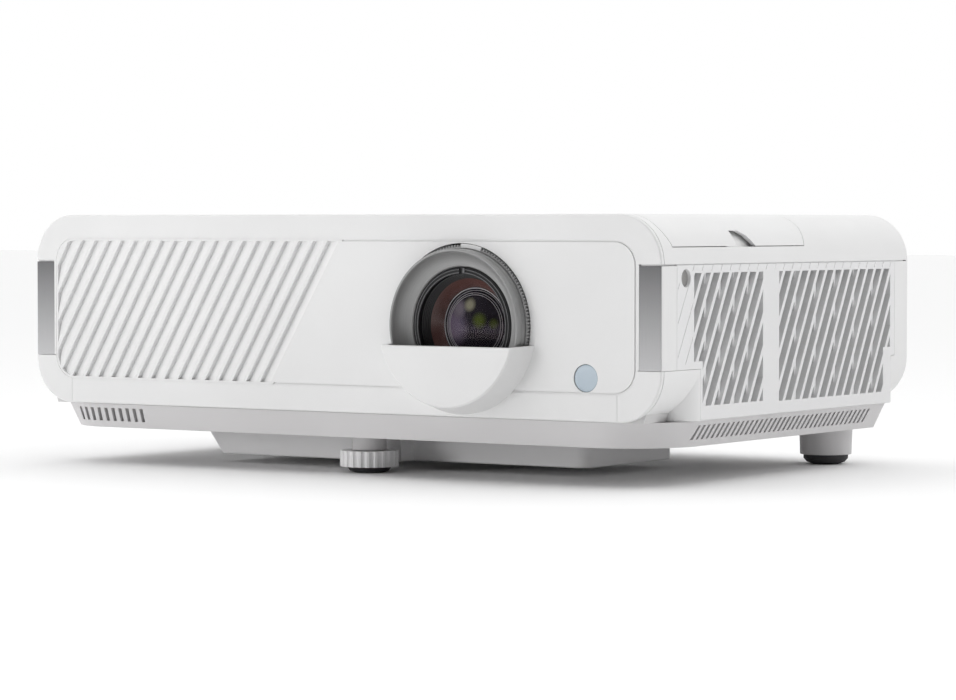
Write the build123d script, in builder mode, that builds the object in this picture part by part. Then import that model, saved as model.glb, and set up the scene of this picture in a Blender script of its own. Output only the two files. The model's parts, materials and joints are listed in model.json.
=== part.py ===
from build123d import *
import math
import os

# Home projector, in millimetres. +Z is up, the front faces -Y and +X is to the right of
# someone facing the lens. The origin is on the floor under the middle of the outer box.

# ---- driving dimensions ----
WIDTH = 405.0
SHELL_DEPTH = 269.0
LIP_REACH = 15.0
TOP = 137.5
SEAM = 112.5
UNDERSIDE = 33.6
BASE_LOW = 20.3
CORNER_R = 25.0
WALL = 2.5

HALF_WIDTH = WIDTH / 2
FRONT = -(SHELL_DEPTH - LIP_REACH) / 2
SHELL_HEIGHT = TOP - UNDERSIDE
SHELL_MID = (TOP + UNDERSIDE) / 2
SEAM_GAP = 0.6
FIT_GAP = 0.2
FAR = 600.0

# front frame, the panel in its window and the notches for the silver trims
RIM = 2.4
RIM_FILLET = 1.0
FRAME_DEPTH = 5.5
WINDOW_HALF = 188.3
WINDOW_LOW = 47.1
WINDOW_HIGH = 124.7
WINDOW_R = 13.0
NOTCH_HALF = 189.6
NOTCH_LOW = 59.8
CORNER_SEAM_X = 177.1
PANEL_THICK = 3.5
CHANNEL_WIDTH = 1.3
CHANNEL_DEPTH = 0.8
TRIM_HIGH = 111.6
TRIM_WRAP = 15.0
TRIM_THICK = 1.8
FLARE_START = 25.5
FLARE_END = 38.5
FLARE_R = 13.0

# slanted ribs of the front panel
RIB_COUNT = 20
RIB_PITCH = 9.35
RIB_LAST_X = -0.4
RIB_LEAN = 30.8
RIB_DEPTH = 2.3
RIB_RAMP = 7.2

# lens
LENS_X = 83.6
LENS_Z = 80.4
LENS_HOLE_R = 42.3
LIP_TOP = 70.2
LIP_REAR_R = 45.5
LIP_FRONT_R = 41.5
FOCUS_R = 39.5
FOCUS_REACH = 8.0
BARREL_R = 30.0
BARREL_BORE = 27.0
RUNNING_GAP = 0.06
IR_X = 158.6
IR_Z = 55.4
IR_R = 6.9

# side grilles
PANEL_START = 15.2
PANEL_END = 252.5
PANEL_STEP_END = 248.3
PANEL_STEP_Z = 60.0
SLAT_LEAN = 29.0
SLAT_PITCH = 9.4
SLOT_WIDTH = 6.6
GRILLE_BACK = 3.0
BAR_RECESS = 2.0
BAR_WIDTH = 2.0

# base
TRAY_TOP_GAP = 0.2
MOUNT_X = 150.0
MOUNT_DEPTHS = (60.0, 215.0)
INSERT_R = 3.5
INSERT_BORE = 2.0
INSERT_LENGTH = 10.0
FRONT_FOOT_DEPTH = 36.0
REAR_FOOT_X = 173.0
REAR_FOOT_DEPTH = 228.0
WHEEL_R = 15.7
WHEEL_LOW = 3.2
WHEEL_HIGH = 11.7
STEM_R = 4.0

# access door over the control deck
DOOR_THICK = 2.2
DOOR_HINGE_X = 152.5
DOOR_BARREL_R = 2.8
DOOR_PIN_R = 1.0
DOOR_LOW = 120.8
DOOR_GAP = 0.4
DECK_TOP = 117.5
DECK_THICK = 2.0

os.makedirs("parts", exist_ok=True)


def hand_in(piece, name):
    """Labels a finished sub-part and writes it as one STEP file."""
    piece.part.label = name
    export_step(piece.part, f"parts/{name}.step")


def front_plane(depth):
    """A plane facing the viewer, at a depth behind the front face."""
    return Plane.XZ.offset(-(FRONT + depth))


def lens_plane(depth):
    """A plane facing the viewer with its origin on the lens axis."""
    return Plane(origin=(LENS_X, FRONT + depth, LENS_Z), x_dir=(1, 0, 0), z_dir=(0, -1, 0))


def shell_outline(inset, mode=Mode.ADD):
    """The rounded rectangle that the whole shell follows, seen from the front."""
    with Locations((0, SHELL_MID)):
        RectangleRounded(WIDTH - 2 * inset, SHELL_HEIGHT - 2 * inset, CORNER_R - inset, mode=mode)


def window_outline(inset, mode=Mode.ADD):
    """The rounded window of the front frame."""
    with Locations((0, (WINDOW_LOW + WINDOW_HIGH) / 2)):
        height = WINDOW_HIGH - WINDOW_LOW - 2 * inset
        RectangleRounded(2 * (WINDOW_HALF - inset), height, WINDOW_R - inset, mode=mode)


def box_between(x, depth, z, mode=Mode.ADD):
    """A block given by its spans in x, in depth behind the front face, and in z."""
    middle = ((x[0] + x[1]) / 2, FRONT + (depth[0] + depth[1]) / 2, (z[0] + z[1]) / 2)
    with Locations(middle):
        Box(x[1] - x[0], depth[1] - depth[0], z[1] - z[0], mode=mode)


def notches(reach, mode=Mode.SUBTRACT):
    """Cuts away both side strips below the seam, out from a distance to the middle."""
    for side in (-1, 1):
        with Locations((side * (reach + FAR / 2), SEAM - FAR / 2)):
            Rectangle(FAR, FAR, mode=mode)


def upright_plane(x, depth):
    """A plane facing the viewer for the half section of a piece turned about a vertical line."""
    return Plane(origin=(x, FRONT + depth, 0), x_dir=(1, 0, 0), z_dir=(0, -1, 0))


def lean_plane(x_axis, y_axis, lean, origin):
    """A plane across a slanted groove: its normal runs along the groove, upwards."""
    tilt = math.radians(lean)
    along = x_axis * math.sin(tilt) + Vector(0, 0, 1) * math.cos(tilt)
    return Plane(origin=origin, x_dir=y_axis.cross(along), z_dir=along)


# ================= outer shell =================

# Top cover: an arch with rounded shoulders, open below, with the opening for the door.
COVER_START = RIM + SEAM_GAP
COVER_END = SHELL_DEPTH - WALL
DOOR_FRONT_LOW = 13.0
DOOR_FRONT_HIGH = 8.8
DOOR_REAR_LOW = 150.0
DOOR_REAR_HIGH = 155.0
DOOR_SLOPE_TOP = 131.0
EAR_THICK = 3.2
PIN_Z = TOP - DOOR_BARREL_R


def door_outline(gap, left):
    """The trapezoid of the door seen from the side, as a sketch at x = left."""
    outline = [
        (FRONT + DOOR_FRONT_LOW + gap, DOOR_LOW + gap),
        (FRONT + DOOR_REAR_LOW - gap, DOOR_LOW + gap),
        (FRONT + DOOR_REAR_HIGH - gap, DOOR_SLOPE_TOP),
        (FRONT + DOOR_REAR_HIGH - gap, TOP + 5),
        (FRONT + DOOR_FRONT_HIGH + gap, TOP + 5),
        (FRONT + DOOR_FRONT_HIGH + gap, DOOR_SLOPE_TOP),
    ]
    with BuildSketch(Plane.YZ.offset(left)) as profile:
        with BuildLine():
            Polyline(*outline, close=True)
        make_face()
    return profile.sketch


with BuildPart() as top_cover:
    with BuildSketch(front_plane(COVER_START)):
        shell_outline(0)
        shell_outline(WALL, mode=Mode.SUBTRACT)
    extrude(amount=-(COVER_END - COVER_START))
    with BuildSketch(Plane.XY):
        Rectangle(FAR, FAR)
    extrude(amount=SEAM, mode=Mode.SUBTRACT)
    # ears that hold both ends of the door's hinge pin
    for start in (DOOR_FRONT_HIGH - EAR_THICK, DOOR_REAR_HIGH):
        box_between((147.5, 157.5), (start, start + EAR_THICK), (PIN_Z - 4.5, TOP - WALL))
    extrude(door_outline(0, DOOR_HINGE_X - DOOR_BARREL_R - DOOR_GAP), amount=FAR, mode=Mode.SUBTRACT)
    with BuildSketch(front_plane(0)):
        with Locations((DOOR_HINGE_X, PIN_Z)):
            Circle(DOOR_PIN_R)
    extrude(amount=-(DOOR_REAR_HIGH + EAR_THICK + 1), mode=Mode.SUBTRACT)
hand_in(top_cover, "top_cover")

# Front frame: a flat rim with a rounded window, stepped back behind a shadow groove.
with BuildPart() as front_frame:
    with BuildSketch(front_plane(0)):
        shell_outline(0)
        notches(NOTCH_HALF)
        with Locations((0, NOTCH_LOW / 2)):
            Rectangle(FAR, NOTCH_LOW, mode=Mode.SUBTRACT)
        with Locations((0, (UNDERSIDE + NOTCH_LOW) / 2)):
            Rectangle(2 * CORNER_SEAM_X, NOTCH_LOW - UNDERSIDE)
        window_outline(0, mode=Mode.SUBTRACT)
    extrude(amount=-RIM)
    rim_edges = front_frame.edges().filter_by_position(Axis.Y, FRONT, FRONT)
    outer_rim = [e for e in rim_edges if e.center().Z > WINDOW_HIGH + 1 or e.center().Z < UNDERSIDE + 1]
    fillet(outer_rim, RIM_FILLET)
    with BuildSketch(front_plane(RIM)):
        shell_outline(RIM_FILLET)
        notches(HALF_WIDTH - WALL - FIT_GAP)
        window_outline(0, mode=Mode.SUBTRACT)
    extrude(amount=-SEAM_GAP)
    with BuildSketch(front_plane(COVER_START)):
        shell_outline(WALL + FIT_GAP)
        window_outline(0, mode=Mode.SUBTRACT)
    extrude(amount=-(FRAME_DEPTH - COVER_START))
    with BuildSketch(lens_plane(0)):
        Circle(LENS_HOLE_R)
    extrude(amount=-FRAME_DEPTH, mode=Mode.SUBTRACT)
    # the neck clears the corner pieces where they wrap under the shell
    for side in (-1, 1):
        x = sorted((side * (CORNER_SEAM_X - FIT_GAP), side * HALF_WIDTH))
        box_between(x, (-1, COVER_START), (UNDERSIDE - 1, NOTCH_LOW + FIT_GAP), mode=Mode.SUBTRACT)
hand_in(front_frame, "front_frame")

# Cutter for the slanted ribs: sawtooth grooves, deep on their left and ramping up to the right.
RIB_REACH = 130.0
with BuildPart() as rib_cutter:
    for index in range(RIB_COUNT):
        origin = (RIB_LAST_X - RIB_PITCH * index, FRONT, WINDOW_HIGH)
        with BuildSketch(lean_plane(Vector(1, 0, 0), Vector(0, 1, 0), RIB_LEAN, origin)):
            with BuildLine():
                ramp = RIB_RAMP * math.cos(math.radians(RIB_LEAN))
                Polyline((0, -1), (0, RIB_DEPTH), (0.6, RIB_DEPTH), (ramp, 0), (ramp, -1), close=True)
            make_face()
        extrude(amount=RIB_REACH, both=True)
    with BuildSketch(front_plane(-2)):
        window_outline(CHANNEL_WIDTH)
    extrude(amount=-(PANEL_THICK + 2), mode=Mode.INTERSECT)

# Front panel: fills the window, ribbed on its left, with holes for the lens and the receiver.
RIB_RIGHT = RIB_LAST_X + RIB_PITCH
SLANT = (WINDOW_HIGH - WINDOW_LOW) * math.tan(math.radians(RIB_LEAN))
with BuildPart() as front_panel:
    with BuildSketch(front_plane(0)):
        window_outline(FIT_GAP)
    extrude(amount=-PANEL_THICK)
    with BuildSketch(lens_plane(0)):
        Circle(LENS_HOLE_R)
    extrude(amount=-PANEL_THICK, mode=Mode.SUBTRACT)
    with BuildSketch(front_plane(0)):
        with Locations((IR_X, IR_Z)):
            Circle(IR_R + FIT_GAP)
    extrude(amount=-PANEL_THICK, mode=Mode.SUBTRACT)
    # the shallow channel round the plain part of the panel
    with BuildSketch(front_plane(0)):
        window_outline(0)
        window_outline(CHANNEL_WIDTH, mode=Mode.SUBTRACT)
        with BuildLine():
            top = (RIB_RIGHT, WINDOW_HIGH)
            Polyline(top, (FAR, WINDOW_HIGH), (FAR, WINDOW_LOW), (RIB_RIGHT - SLANT, WINDOW_LOW), close=True)
        make_face(mode=Mode.INTERSECT)
    extrude(amount=-CHANNEL_DEPTH, mode=Mode.SUBTRACT)
    add(rib_cutter.part, mode=Mode.SUBTRACT)
hand_in(front_panel, "front_panel")

# Receiver window: a round lens for the remote control.
with BuildPart() as ir_window:
    with BuildSketch(front_plane(0.5)):
        with Locations((IR_X, IR_Z)):
            Circle(IR_R)
    extrude(amount=-2.6)
    fillet(ir_window.edges().group_by(Axis.Y)[0], 0.5)
hand_in(ir_window, "ir_window")

# Lens lip: a half cup under the lens, cut flat across its top.
LIP_WALL = 2.6
with BuildPart() as lens_lip:
    with BuildSketch(Plane(origin=(LENS_X, FRONT, LENS_Z), x_dir=(1, 0, 0), z_dir=(0, 0, 1))):
        with BuildLine():
            Polyline(
                (0, -LIP_REACH),
                (LIP_FRONT_R - 0.8, -LIP_REACH),
                (LIP_FRONT_R, -LIP_REACH + 0.8),
                (LIP_REAR_R, 0),
                (LIP_REAR_R - LIP_WALL + 0.2, 0),
                (LIP_FRONT_R - LIP_WALL, -LIP_REACH + LIP_WALL),
                (0, -LIP_REACH + LIP_WALL),
                close=True,
            )
        make_face()
    revolve(axis=Axis((LENS_X, 0, LENS_Z), (0, 1, 0)))
    with BuildSketch(Plane.YZ.offset(LENS_X - 60)):
        with BuildLine():
            rise = 0.08 * LIP_REACH
            Polyline(
                (FRONT - 20, LIP_TOP - 0.4),
                (FRONT + 5, LIP_TOP - 0.4 + rise + 0.4),
                (FRONT + 5, LENS_Z + 60),
                (FRONT - 20, LENS_Z + 60),
                close=True,
            )
        make_face()
    extrude(amount=120, mode=Mode.SUBTRACT)
    top_edges = lens_lip.faces().sort_by(Axis.Z)[-1].edges()
    fillet(top_edges.filter_by(Axis.X).group_by(Axis.Y)[0], 0.7)
hand_in(lens_lip, "lens_lip")

# Silver trims: L-shaped inserts that wrap the front corners between the shell's notches.
with BuildPart() as side_trim_right:
    box_between((NOTCH_HALF, HALF_WIDTH), (0.2, 0.2 + TRIM_THICK), (NOTCH_LOW, TRIM_HIGH))
    box_between((HALF_WIDTH - TRIM_THICK, HALF_WIDTH), (0.2, TRIM_WRAP), (NOTCH_LOW, TRIM_HIGH))
    outer = side_trim_right.edges().filter_by(Axis.Z).sort_by(Axis.X)
    fillet(outer.group_by(Axis.X)[-1].sort_by(Axis.Y)[0], 0.7)
hand_in(side_trim_right, "side_trim_right")

with BuildPart() as side_trim_left:
    mirror(side_trim_right.part, about=Plane.YZ)
hand_in(side_trim_left, "side_trim_left")

# Lower corner pieces: rounded like the shell in front, square under the side panels.
CORNER_TOP = NOTCH_LOW - FIT_GAP
with BuildPart() as lower_corner_right:
    zone_height = CORNER_TOP - UNDERSIDE
    zone_width = HALF_WIDTH - CORNER_SEAM_X
    zone = (CORNER_SEAM_X + zone_width / 2, UNDERSIDE + zone_height / 2)
    with BuildSketch(front_plane(0)):
        shell_outline(0)
        window_outline(0, mode=Mode.SUBTRACT)
        with Locations(zone):
            Rectangle(zone_width, zone_height, mode=Mode.INTERSECT)
    extrude(amount=-RIM)
    rim_edges = lower_corner_right.edges().filter_by_position(Axis.Y, FRONT, FRONT)
    outer_rim = [e for e in rim_edges if e.center().X > WINDOW_HALF + 2]
    fillet([e for e in outer_rim if e.center().Z < CORNER_TOP - 0.3], RIM_FILLET)
    with BuildSketch(front_plane(RIM)):
        shell_outline(RIM_FILLET)
        shell_outline(WALL, mode=Mode.SUBTRACT)
        with Locations(zone):
            Rectangle(zone_width, zone_height, mode=Mode.INTERSECT)
    extrude(amount=-SEAM_GAP)
    with BuildSketch(front_plane(COVER_START)):
        shell_outline(0)
        shell_outline(WALL, mode=Mode.SUBTRACT)
        with Locations(zone):
            Rectangle(zone_width, zone_height, mode=Mode.INTERSECT)
    extrude(amount=-(FLARE_END - COVER_START))
    # the flare that fills the square corner under the side panel
    with BuildSketch(Plane.XY.offset(UNDERSIDE)) as flare:
        middle = ((CORNER_SEAM_X + HALF_WIDTH) / 2, FRONT + (FLARE_START + FLARE_END) / 2)
        with Locations(middle):
            Rectangle(zone_width, FLARE_END - FLARE_START)
        front_corner = flare.vertices().group_by(Axis.Y)[0].sort_by(Axis.X)[-1]
        fillet(front_corner, FLARE_R - 0.1)
    extrude(amount=zone_height)
hand_in(lower_corner_right, "lower_corner_right")

with BuildPart() as lower_corner_left:
    mirror(lower_corner_right.part, about=Plane.YZ)
hand_in(lower_corner_left, "lower_corner_left")

# ================= sides and rear =================

PANEL_TOP = SEAM - SEAM_GAP
STEP_START = FLARE_END + FIT_GAP
PANEL_OUTLINE = [
    (PANEL_START, PANEL_TOP),
    (PANEL_END, PANEL_TOP),
    (PANEL_END, PANEL_STEP_Z),
    (PANEL_STEP_END, PANEL_STEP_Z),
    (PANEL_STEP_END, UNDERSIDE),
    (STEP_START, UNDERSIDE),
    (STEP_START, NOTCH_LOW),
    (PANEL_START, NOTCH_LOW),
]
FRONT_WINDOW = [(32.0, 107.9), (102.9, 107.9), (102.9, 41.0), (40.6, 41.0), (40.6, 63.6), (32.0, 63.6)]
REAR_WINDOW = [(120.1, 107.9), (247.3, 107.9), (247.3, 64.7), (239.0, 64.7), (239.0, 40.2), (120.1, 40.2)]
BAR_HEIGHTS = (39.5, 109.0)
FRONT_BARS = [46.5 + 14.5 * step for step in range(4)]
REAR_BARS = [141.3 + 22.0 * step for step in range(5)]
ENGRAVE_STRIPS = [
    [(16.2, 103.0), (31.0, 103.0), (31.0, 62.5), (16.2, 62.5)],
    [(30.0, PANEL_TOP), (251.0, PANEL_TOP), (251.0, 108.9), (30.0, 108.9)],
]
RECESS = (24.0, 105.4)
RECESS_R = 4.6


def side_polygon(points, mode=Mode.ADD):
    """A polygon seen from the side: each point is a depth behind the front face and a height."""
    Polygon(*[(FRONT + depth, z) for depth, z in points], align=None, mode=mode)


def slanted_strips(first, last, width):
    """Parallel strips that lean back at the slats' angle, one every slat pitch."""
    lean = math.tan(math.radians(SLAT_LEAN))
    low, high = UNDERSIDE - 5, TOP
    steps = int((last - first) / SLAT_PITCH) + 1
    for step in range(steps):
        start = FRONT + first + step * SLAT_PITCH
        lower = [(start, low), (start + width, low)]
        shift = (high - low) * lean
        upper = [(start + width + shift, high), (start + shift, high)]
        Polygon(*lower, *upper, align=None)


with BuildPart() as side_grille_right:
    with BuildSketch(Plane.YZ.offset(HALF_WIDTH - WALL)):
        side_polygon(PANEL_OUTLINE)
    extrude(amount=WALL)
    outer_edges = side_grille_right.faces().sort_by(Axis.X)[-1].edges()
    chamfer(outer_edges.filter_by(Axis.Y).group_by(Axis.Z)[0], 0.5)
    # the slats are deeper than the panel round them
    for window in (FRONT_WINDOW, REAR_WINDOW):
        with BuildSketch(Plane.YZ.offset(HALF_WIDTH - WALL - GRILLE_BACK)):
            side_polygon(window)
            offset(amount=1.5, kind=Kind.INTERSECTION)
        extrude(amount=GRILLE_BACK)
    for window in (FRONT_WINDOW, REAR_WINDOW):
        with BuildSketch(Plane.YZ.offset(HALF_WIDTH - WALL - GRILLE_BACK - 1)):
            slanted_strips(-30.0, 250.0, SLOT_WIDTH)
            side_polygon(window, mode=Mode.INTERSECT)
        extrude(amount=WALL + GRILLE_BACK + 2, mode=Mode.SUBTRACT)
    # upright bars that tie the slats together, a little below their faces
    for depth in FRONT_BARS + REAR_BARS:
        bar_x = (HALF_WIDTH - WALL - GRILLE_BACK, HALF_WIDTH - BAR_RECESS)
        bar_span = (depth - BAR_WIDTH / 2, depth + BAR_WIDTH / 2)
        box_between(bar_x, bar_span, BAR_HEIGHTS)
    # engraved lines carry the slats' pattern over the plain strips
    for strip in ENGRAVE_STRIPS:
        with BuildSketch(Plane.YZ.offset(HALF_WIDTH - 0.35)):
            slanted_strips(-30.0 + SLOT_WIDTH - 0.3, 250.0, 0.55)
            side_polygon(strip, mode=Mode.INTERSECT)
        extrude(amount=1, mode=Mode.SUBTRACT)
    with BuildSketch(Plane.YZ.offset(HALF_WIDTH - WALL)):
        with Locations((FRONT + RECESS[0], RECESS[1])):
            Circle(RECESS_R)
    extrude(amount=WALL, mode=Mode.SUBTRACT)
hand_in(side_grille_right, "side_grille_right")

with BuildPart() as side_grille_left:
    mirror(side_grille_right.part, about=Plane.YZ)
hand_in(side_grille_left, "side_grille_left")

# Rear cap: the rear wall with its sockets' openings, and the rounded corners round it.
PORT_Z = 58.0
HDMI = (15.6, 6.4)
USB = (13.8, 6.8)
HDMI_X = (-20.0, 4.0)
USB_X = 26.0
AUDIO_X = 50.0
AUDIO_R = 4.0
SERIAL_X = -54.0
SERIAL = (20.0, 12.0)
INLET_X = -150.0
INLET_Z = 66.0
INLET = (28.0, 21.0)
LOCK_X = 185.0
with BuildPart() as rear_cap:
    with BuildSketch(front_plane(COVER_END)):
        shell_outline(0)
    extrude(amount=-WALL)
    fillet(rear_cap.faces().sort_by(Axis.Y)[-1].outer_wire().edges(), 1.2)
    with BuildSketch(front_plane(PANEL_STEP_END + FIT_GAP)):
        shell_outline(0)
        shell_outline(WALL, mode=Mode.SUBTRACT)
        with Locations((0, PANEL_TOP + FAR / 2)):
            Rectangle(FAR, FAR, mode=Mode.SUBTRACT)
    extrude(amount=-(COVER_END - PANEL_STEP_END - FIT_GAP))
    for side in (-1, 1):
        x = sorted((side * (HALF_WIDTH - 3 * WALL), side * (HALF_WIDTH + 1)))
        step_depth = (PANEL_STEP_END, PANEL_END + FIT_GAP)
        box_between(x, step_depth, (PANEL_STEP_Z - FIT_GAP, SEAM), mode=Mode.SUBTRACT)
    with BuildSketch(front_plane(COVER_END)):
        with Locations(*[(x, PORT_Z) for x in HDMI_X]):
            Rectangle(*HDMI)
        with Locations((USB_X, PORT_Z)):
            Rectangle(*USB)
        with Locations((AUDIO_X, PORT_Z)):
            Circle(AUDIO_R)
        with Locations((SERIAL_X, PORT_Z)):
            Rectangle(*SERIAL)
        with Locations((INLET_X, INLET_Z)):
            Rectangle(*INLET)
        with Locations((LOCK_X, PORT_Z)):
            SlotOverall(7.4, 3.4)
    extrude(amount=-WALL, mode=Mode.SUBTRACT)
hand_in(rear_cap, "rear_cap")

# ================= base =================

TRAY_TOP = UNDERSIDE - TRAY_TOP_GAP
TRAY_UPPER = ((-200.8, 200.8), (1.8, 249.0))
TRAY_LOWER = ((-196.5, 196.5), (6.0, 244.0))
TRAY_WALL = 2.5
TRAY_FRONT_R = 38.0
TRAY_REAR_R = 6.0
BOSS_R = 6.5
FOOT_POST_R = 9.2
FOOT_POST_TOP = 30.0
SLOT_W = 2.3
VENT_LOW = 23.9
VENT_HIGH = 31.2
FRONT_VENTS = 10
FRONT_VENT_X = -175.0
SIDE_VENTS = 38
SIDE_VENT_START = 37.0
VENT_PITCH = 5.0


def tray_section(spans, z, inset):
    """A level section of the tray: large corner radii in front, small ones behind."""
    (x0, x1), (d0, d1) = spans
    middle = ((x0 + x1) / 2, FRONT + (d0 + d1) / 2)
    with BuildSketch(Plane.XY.offset(z)) as section:
        with Locations(middle):
            Rectangle(x1 - x0 - 2 * inset, d1 - d0 - 2 * inset)
        rows = section.vertices().group_by(Axis.Y)
        fillet(rows[0], TRAY_FRONT_R - inset)
        fillet(section.vertices().group_by(Axis.Y)[-1], TRAY_REAR_R - inset)
    return section.sketch


with BuildPart() as base_tray:
    loft([tray_section(TRAY_LOWER, BASE_LOW, 0), tray_section(TRAY_UPPER, TRAY_TOP, 0)])
    inner_low = tray_section(TRAY_LOWER, BASE_LOW + TRAY_WALL, TRAY_WALL)
    inner_high = tray_section(TRAY_UPPER, TRAY_TOP + 1, TRAY_WALL)
    loft([inner_low, inner_high], mode=Mode.SUBTRACT)
    # bosses for the ceiling mount's threaded inserts, and for the front foot's stem
    with BuildSketch(Plane.XY.offset(BASE_LOW + TRAY_WALL / 2)):
        with Locations(*[(side * MOUNT_X, FRONT + depth) for side in (-1, 1) for depth in MOUNT_DEPTHS]):
            Circle(BOSS_R)
    extrude(amount=INSERT_LENGTH - TRAY_WALL / 2)
    with BuildSketch(Plane.XY.offset(BASE_LOW)):
        with Locations(*[(side * MOUNT_X, FRONT + depth) for side in (-1, 1) for depth in MOUNT_DEPTHS]):
            Circle(INSERT_R)
    extrude(amount=INSERT_LENGTH, mode=Mode.SUBTRACT)
    with BuildSketch(Plane.XY.offset(WHEEL_HIGH + 0.4)):
        with Locations((0, FRONT + FRONT_FOOT_DEPTH)):
            Circle(FOOT_POST_R)
    extrude(amount=FOOT_POST_TOP - WHEEL_HIGH - 0.4)
    with BuildSketch(Plane.XY.offset(WHEEL_HIGH)):
        with Locations((0, FRONT + FRONT_FOOT_DEPTH)):
            Circle(STEM_R + RUNNING_GAP)
    extrude(amount=FOOT_POST_TOP, mode=Mode.SUBTRACT)
    for index in range(FRONT_VENTS):
        x = FRONT_VENT_X + index * VENT_PITCH
        box_between((x - SLOT_W / 2, x + SLOT_W / 2), (-2, 14), (VENT_LOW, VENT_HIGH), mode=Mode.SUBTRACT)
    for side in (-1, 1):
        with BuildSketch(Plane.YZ.offset(side * (HALF_WIDTH - 4) - 7)):
            for index in range(SIDE_VENTS):
                start = FRONT + SIDE_VENT_START + index * VENT_PITCH
                lean = (VENT_HIGH - VENT_LOW) * math.tan(math.radians(SLAT_LEAN))
                foot = [(start, VENT_LOW), (start + SLOT_W, VENT_LOW)]
                Polygon(*foot, (start + SLOT_W + lean, VENT_HIGH), (start + lean, VENT_HIGH), align=None)
        extrude(amount=14, mode=Mode.SUBTRACT)
hand_in(base_tray, "base_tray")

# Underside cover: the deeper well under the light engine, in two steps with a slanted left end.
WELL_LOW = 4.6
WELL_R = 6.0
with BuildPart() as underside_cover:
    with BuildSketch(front_plane(54.0)):
        Polygon((-125, BASE_LOW), (8, BASE_LOW), (8, WELL_LOW), (-113, WELL_LOW), align=None)
    extrude(amount=-102.0)
    box_between((0, 118), (66, 156), (WELL_LOW, BASE_LOW))
    uprights = underside_cover.edges().filter_by(Axis.Z).sort_by(Axis.X)
    fillet(uprights[-2:], WELL_R)
    box_between((-168, -110), (66, 150), (BASE_LOW - 1.6, BASE_LOW))
    fillet(underside_cover.faces().sort_by(Axis.Z)[0].edges(), 1.0)
hand_in(underside_cover, "underside_cover")

# Threaded inserts for a ceiling bracket, all in one node.
with BuildPart() as mount_inserts:
    with BuildSketch(Plane.XY.offset(BASE_LOW)):
        with Locations(*[(side * MOUNT_X, FRONT + depth) for side in (-1, 1) for depth in MOUNT_DEPTHS]):
            Circle(INSERT_R)
            Circle(INSERT_BORE, mode=Mode.SUBTRACT)
    extrude(amount=INSERT_LENGTH)
hand_in(mount_inserts, "mount_inserts")

# Screws that hold the base to the shell, in countersinks near the tray's edge.
SCREWS = [(-185.0, 60.0), (185.0, 60.0), (-100.0, 20.0), (100.0, 20.0), (-120.0, 232.0), (120.0, 232.0)]
with BuildPart() as base_screws:
    for x, depth in SCREWS:
        with BuildSketch(Plane.XY.offset(BASE_LOW - 0.9)) as screw_head:
            with Locations((x, FRONT + depth)):
                Circle(3.4)
                RegularPolygon(1.3, 6, mode=Mode.SUBTRACT)
        extrude(amount=0.9)
hand_in(base_screws, "base_screws")

# ---- feet ----
STEM_TOP = 34.0
WHEEL_LOBES = 22
SPIGOT_R = 3.0
SPIGOT_TOP = 8.0
with BuildPart() as foot_wheel:
    with BuildSketch(Plane.XY.offset(WHEEL_LOW)):
        with Locations((0, FRONT + FRONT_FOOT_DEPTH)):
            Circle(WHEEL_R)
            with PolarLocations(WHEEL_R + 0.7, WHEEL_LOBES):
                Circle(1.75, mode=Mode.SUBTRACT)
    extrude(amount=WHEEL_HIGH - WHEEL_LOW)
    with BuildSketch(Plane.XY.offset(WHEEL_LOW)):
        with Locations((0, FRONT + FRONT_FOOT_DEPTH)):
            Circle(SPIGOT_R + RUNNING_GAP)
    extrude(amount=SPIGOT_TOP + 0.5 - WHEEL_LOW, mode=Mode.SUBTRACT)
    with BuildSketch(Plane.XY.offset(WHEEL_HIGH)):
        with Locations((0, FRONT + FRONT_FOOT_DEPTH)):
            Circle(STEM_R)
    extrude(amount=STEM_TOP - WHEEL_HIGH)
hand_in(foot_wheel, "foot_wheel")

with BuildPart() as front_foot_pad:
    with BuildSketch(upright_plane(0, FRONT_FOOT_DEPTH)):
        profile = [(0, 0), (8, 0), (10.5, 0.8), (12, WHEEL_LOW - 0.2), (SPIGOT_R, WHEEL_LOW - 0.2)]
        Polygon(*profile, (SPIGOT_R, SPIGOT_TOP), (0, SPIGOT_TOP), align=None)
    revolve(axis=Axis((0, FRONT + FRONT_FOOT_DEPTH, 0), (0, 0, 1)))
hand_in(front_foot_pad, "front_foot_pad")

REAR_FOOT_LOW = 5.4
REAR_FOOT_SHAPE = [(0, REAR_FOOT_LOW), (14.2, REAR_FOOT_LOW), (14.7, BASE_LOW), (0, BASE_LOW)]
REAR_PAD_R = 12.3
REAR_PAD_SIDE = [(10.5, 1.2), (REAR_PAD_R, 3.2), (REAR_PAD_R, REAR_FOOT_LOW)]
REAR_PAD_SHAPE = [(0, 0), (7, 0), *REAR_PAD_SIDE, (0, REAR_FOOT_LOW)]
for side, word in ((-1, "left"), (1, "right")):
    foot_plane = upright_plane(side * REAR_FOOT_X, REAR_FOOT_DEPTH)
    foot_axis = Axis((side * REAR_FOOT_X, FRONT + REAR_FOOT_DEPTH, 0), (0, 0, 1))
    with BuildPart() as rear_foot:
        with BuildSketch(foot_plane):
            Polygon(*REAR_FOOT_SHAPE, align=None)
        revolve(axis=foot_axis)
        fillet(rear_foot.edges().group_by(Axis.Z)[0], 0.6)
    hand_in(rear_foot, f"rear_foot_{word}")
    with BuildPart() as rear_foot_pad:
        with BuildSketch(foot_plane):
            Polygon(*REAR_PAD_SHAPE, align=None)
        revolve(axis=foot_axis)
    hand_in(rear_foot_pad, f"rear_foot_pad_{word}")

# ================= access door and control deck =================

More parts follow.
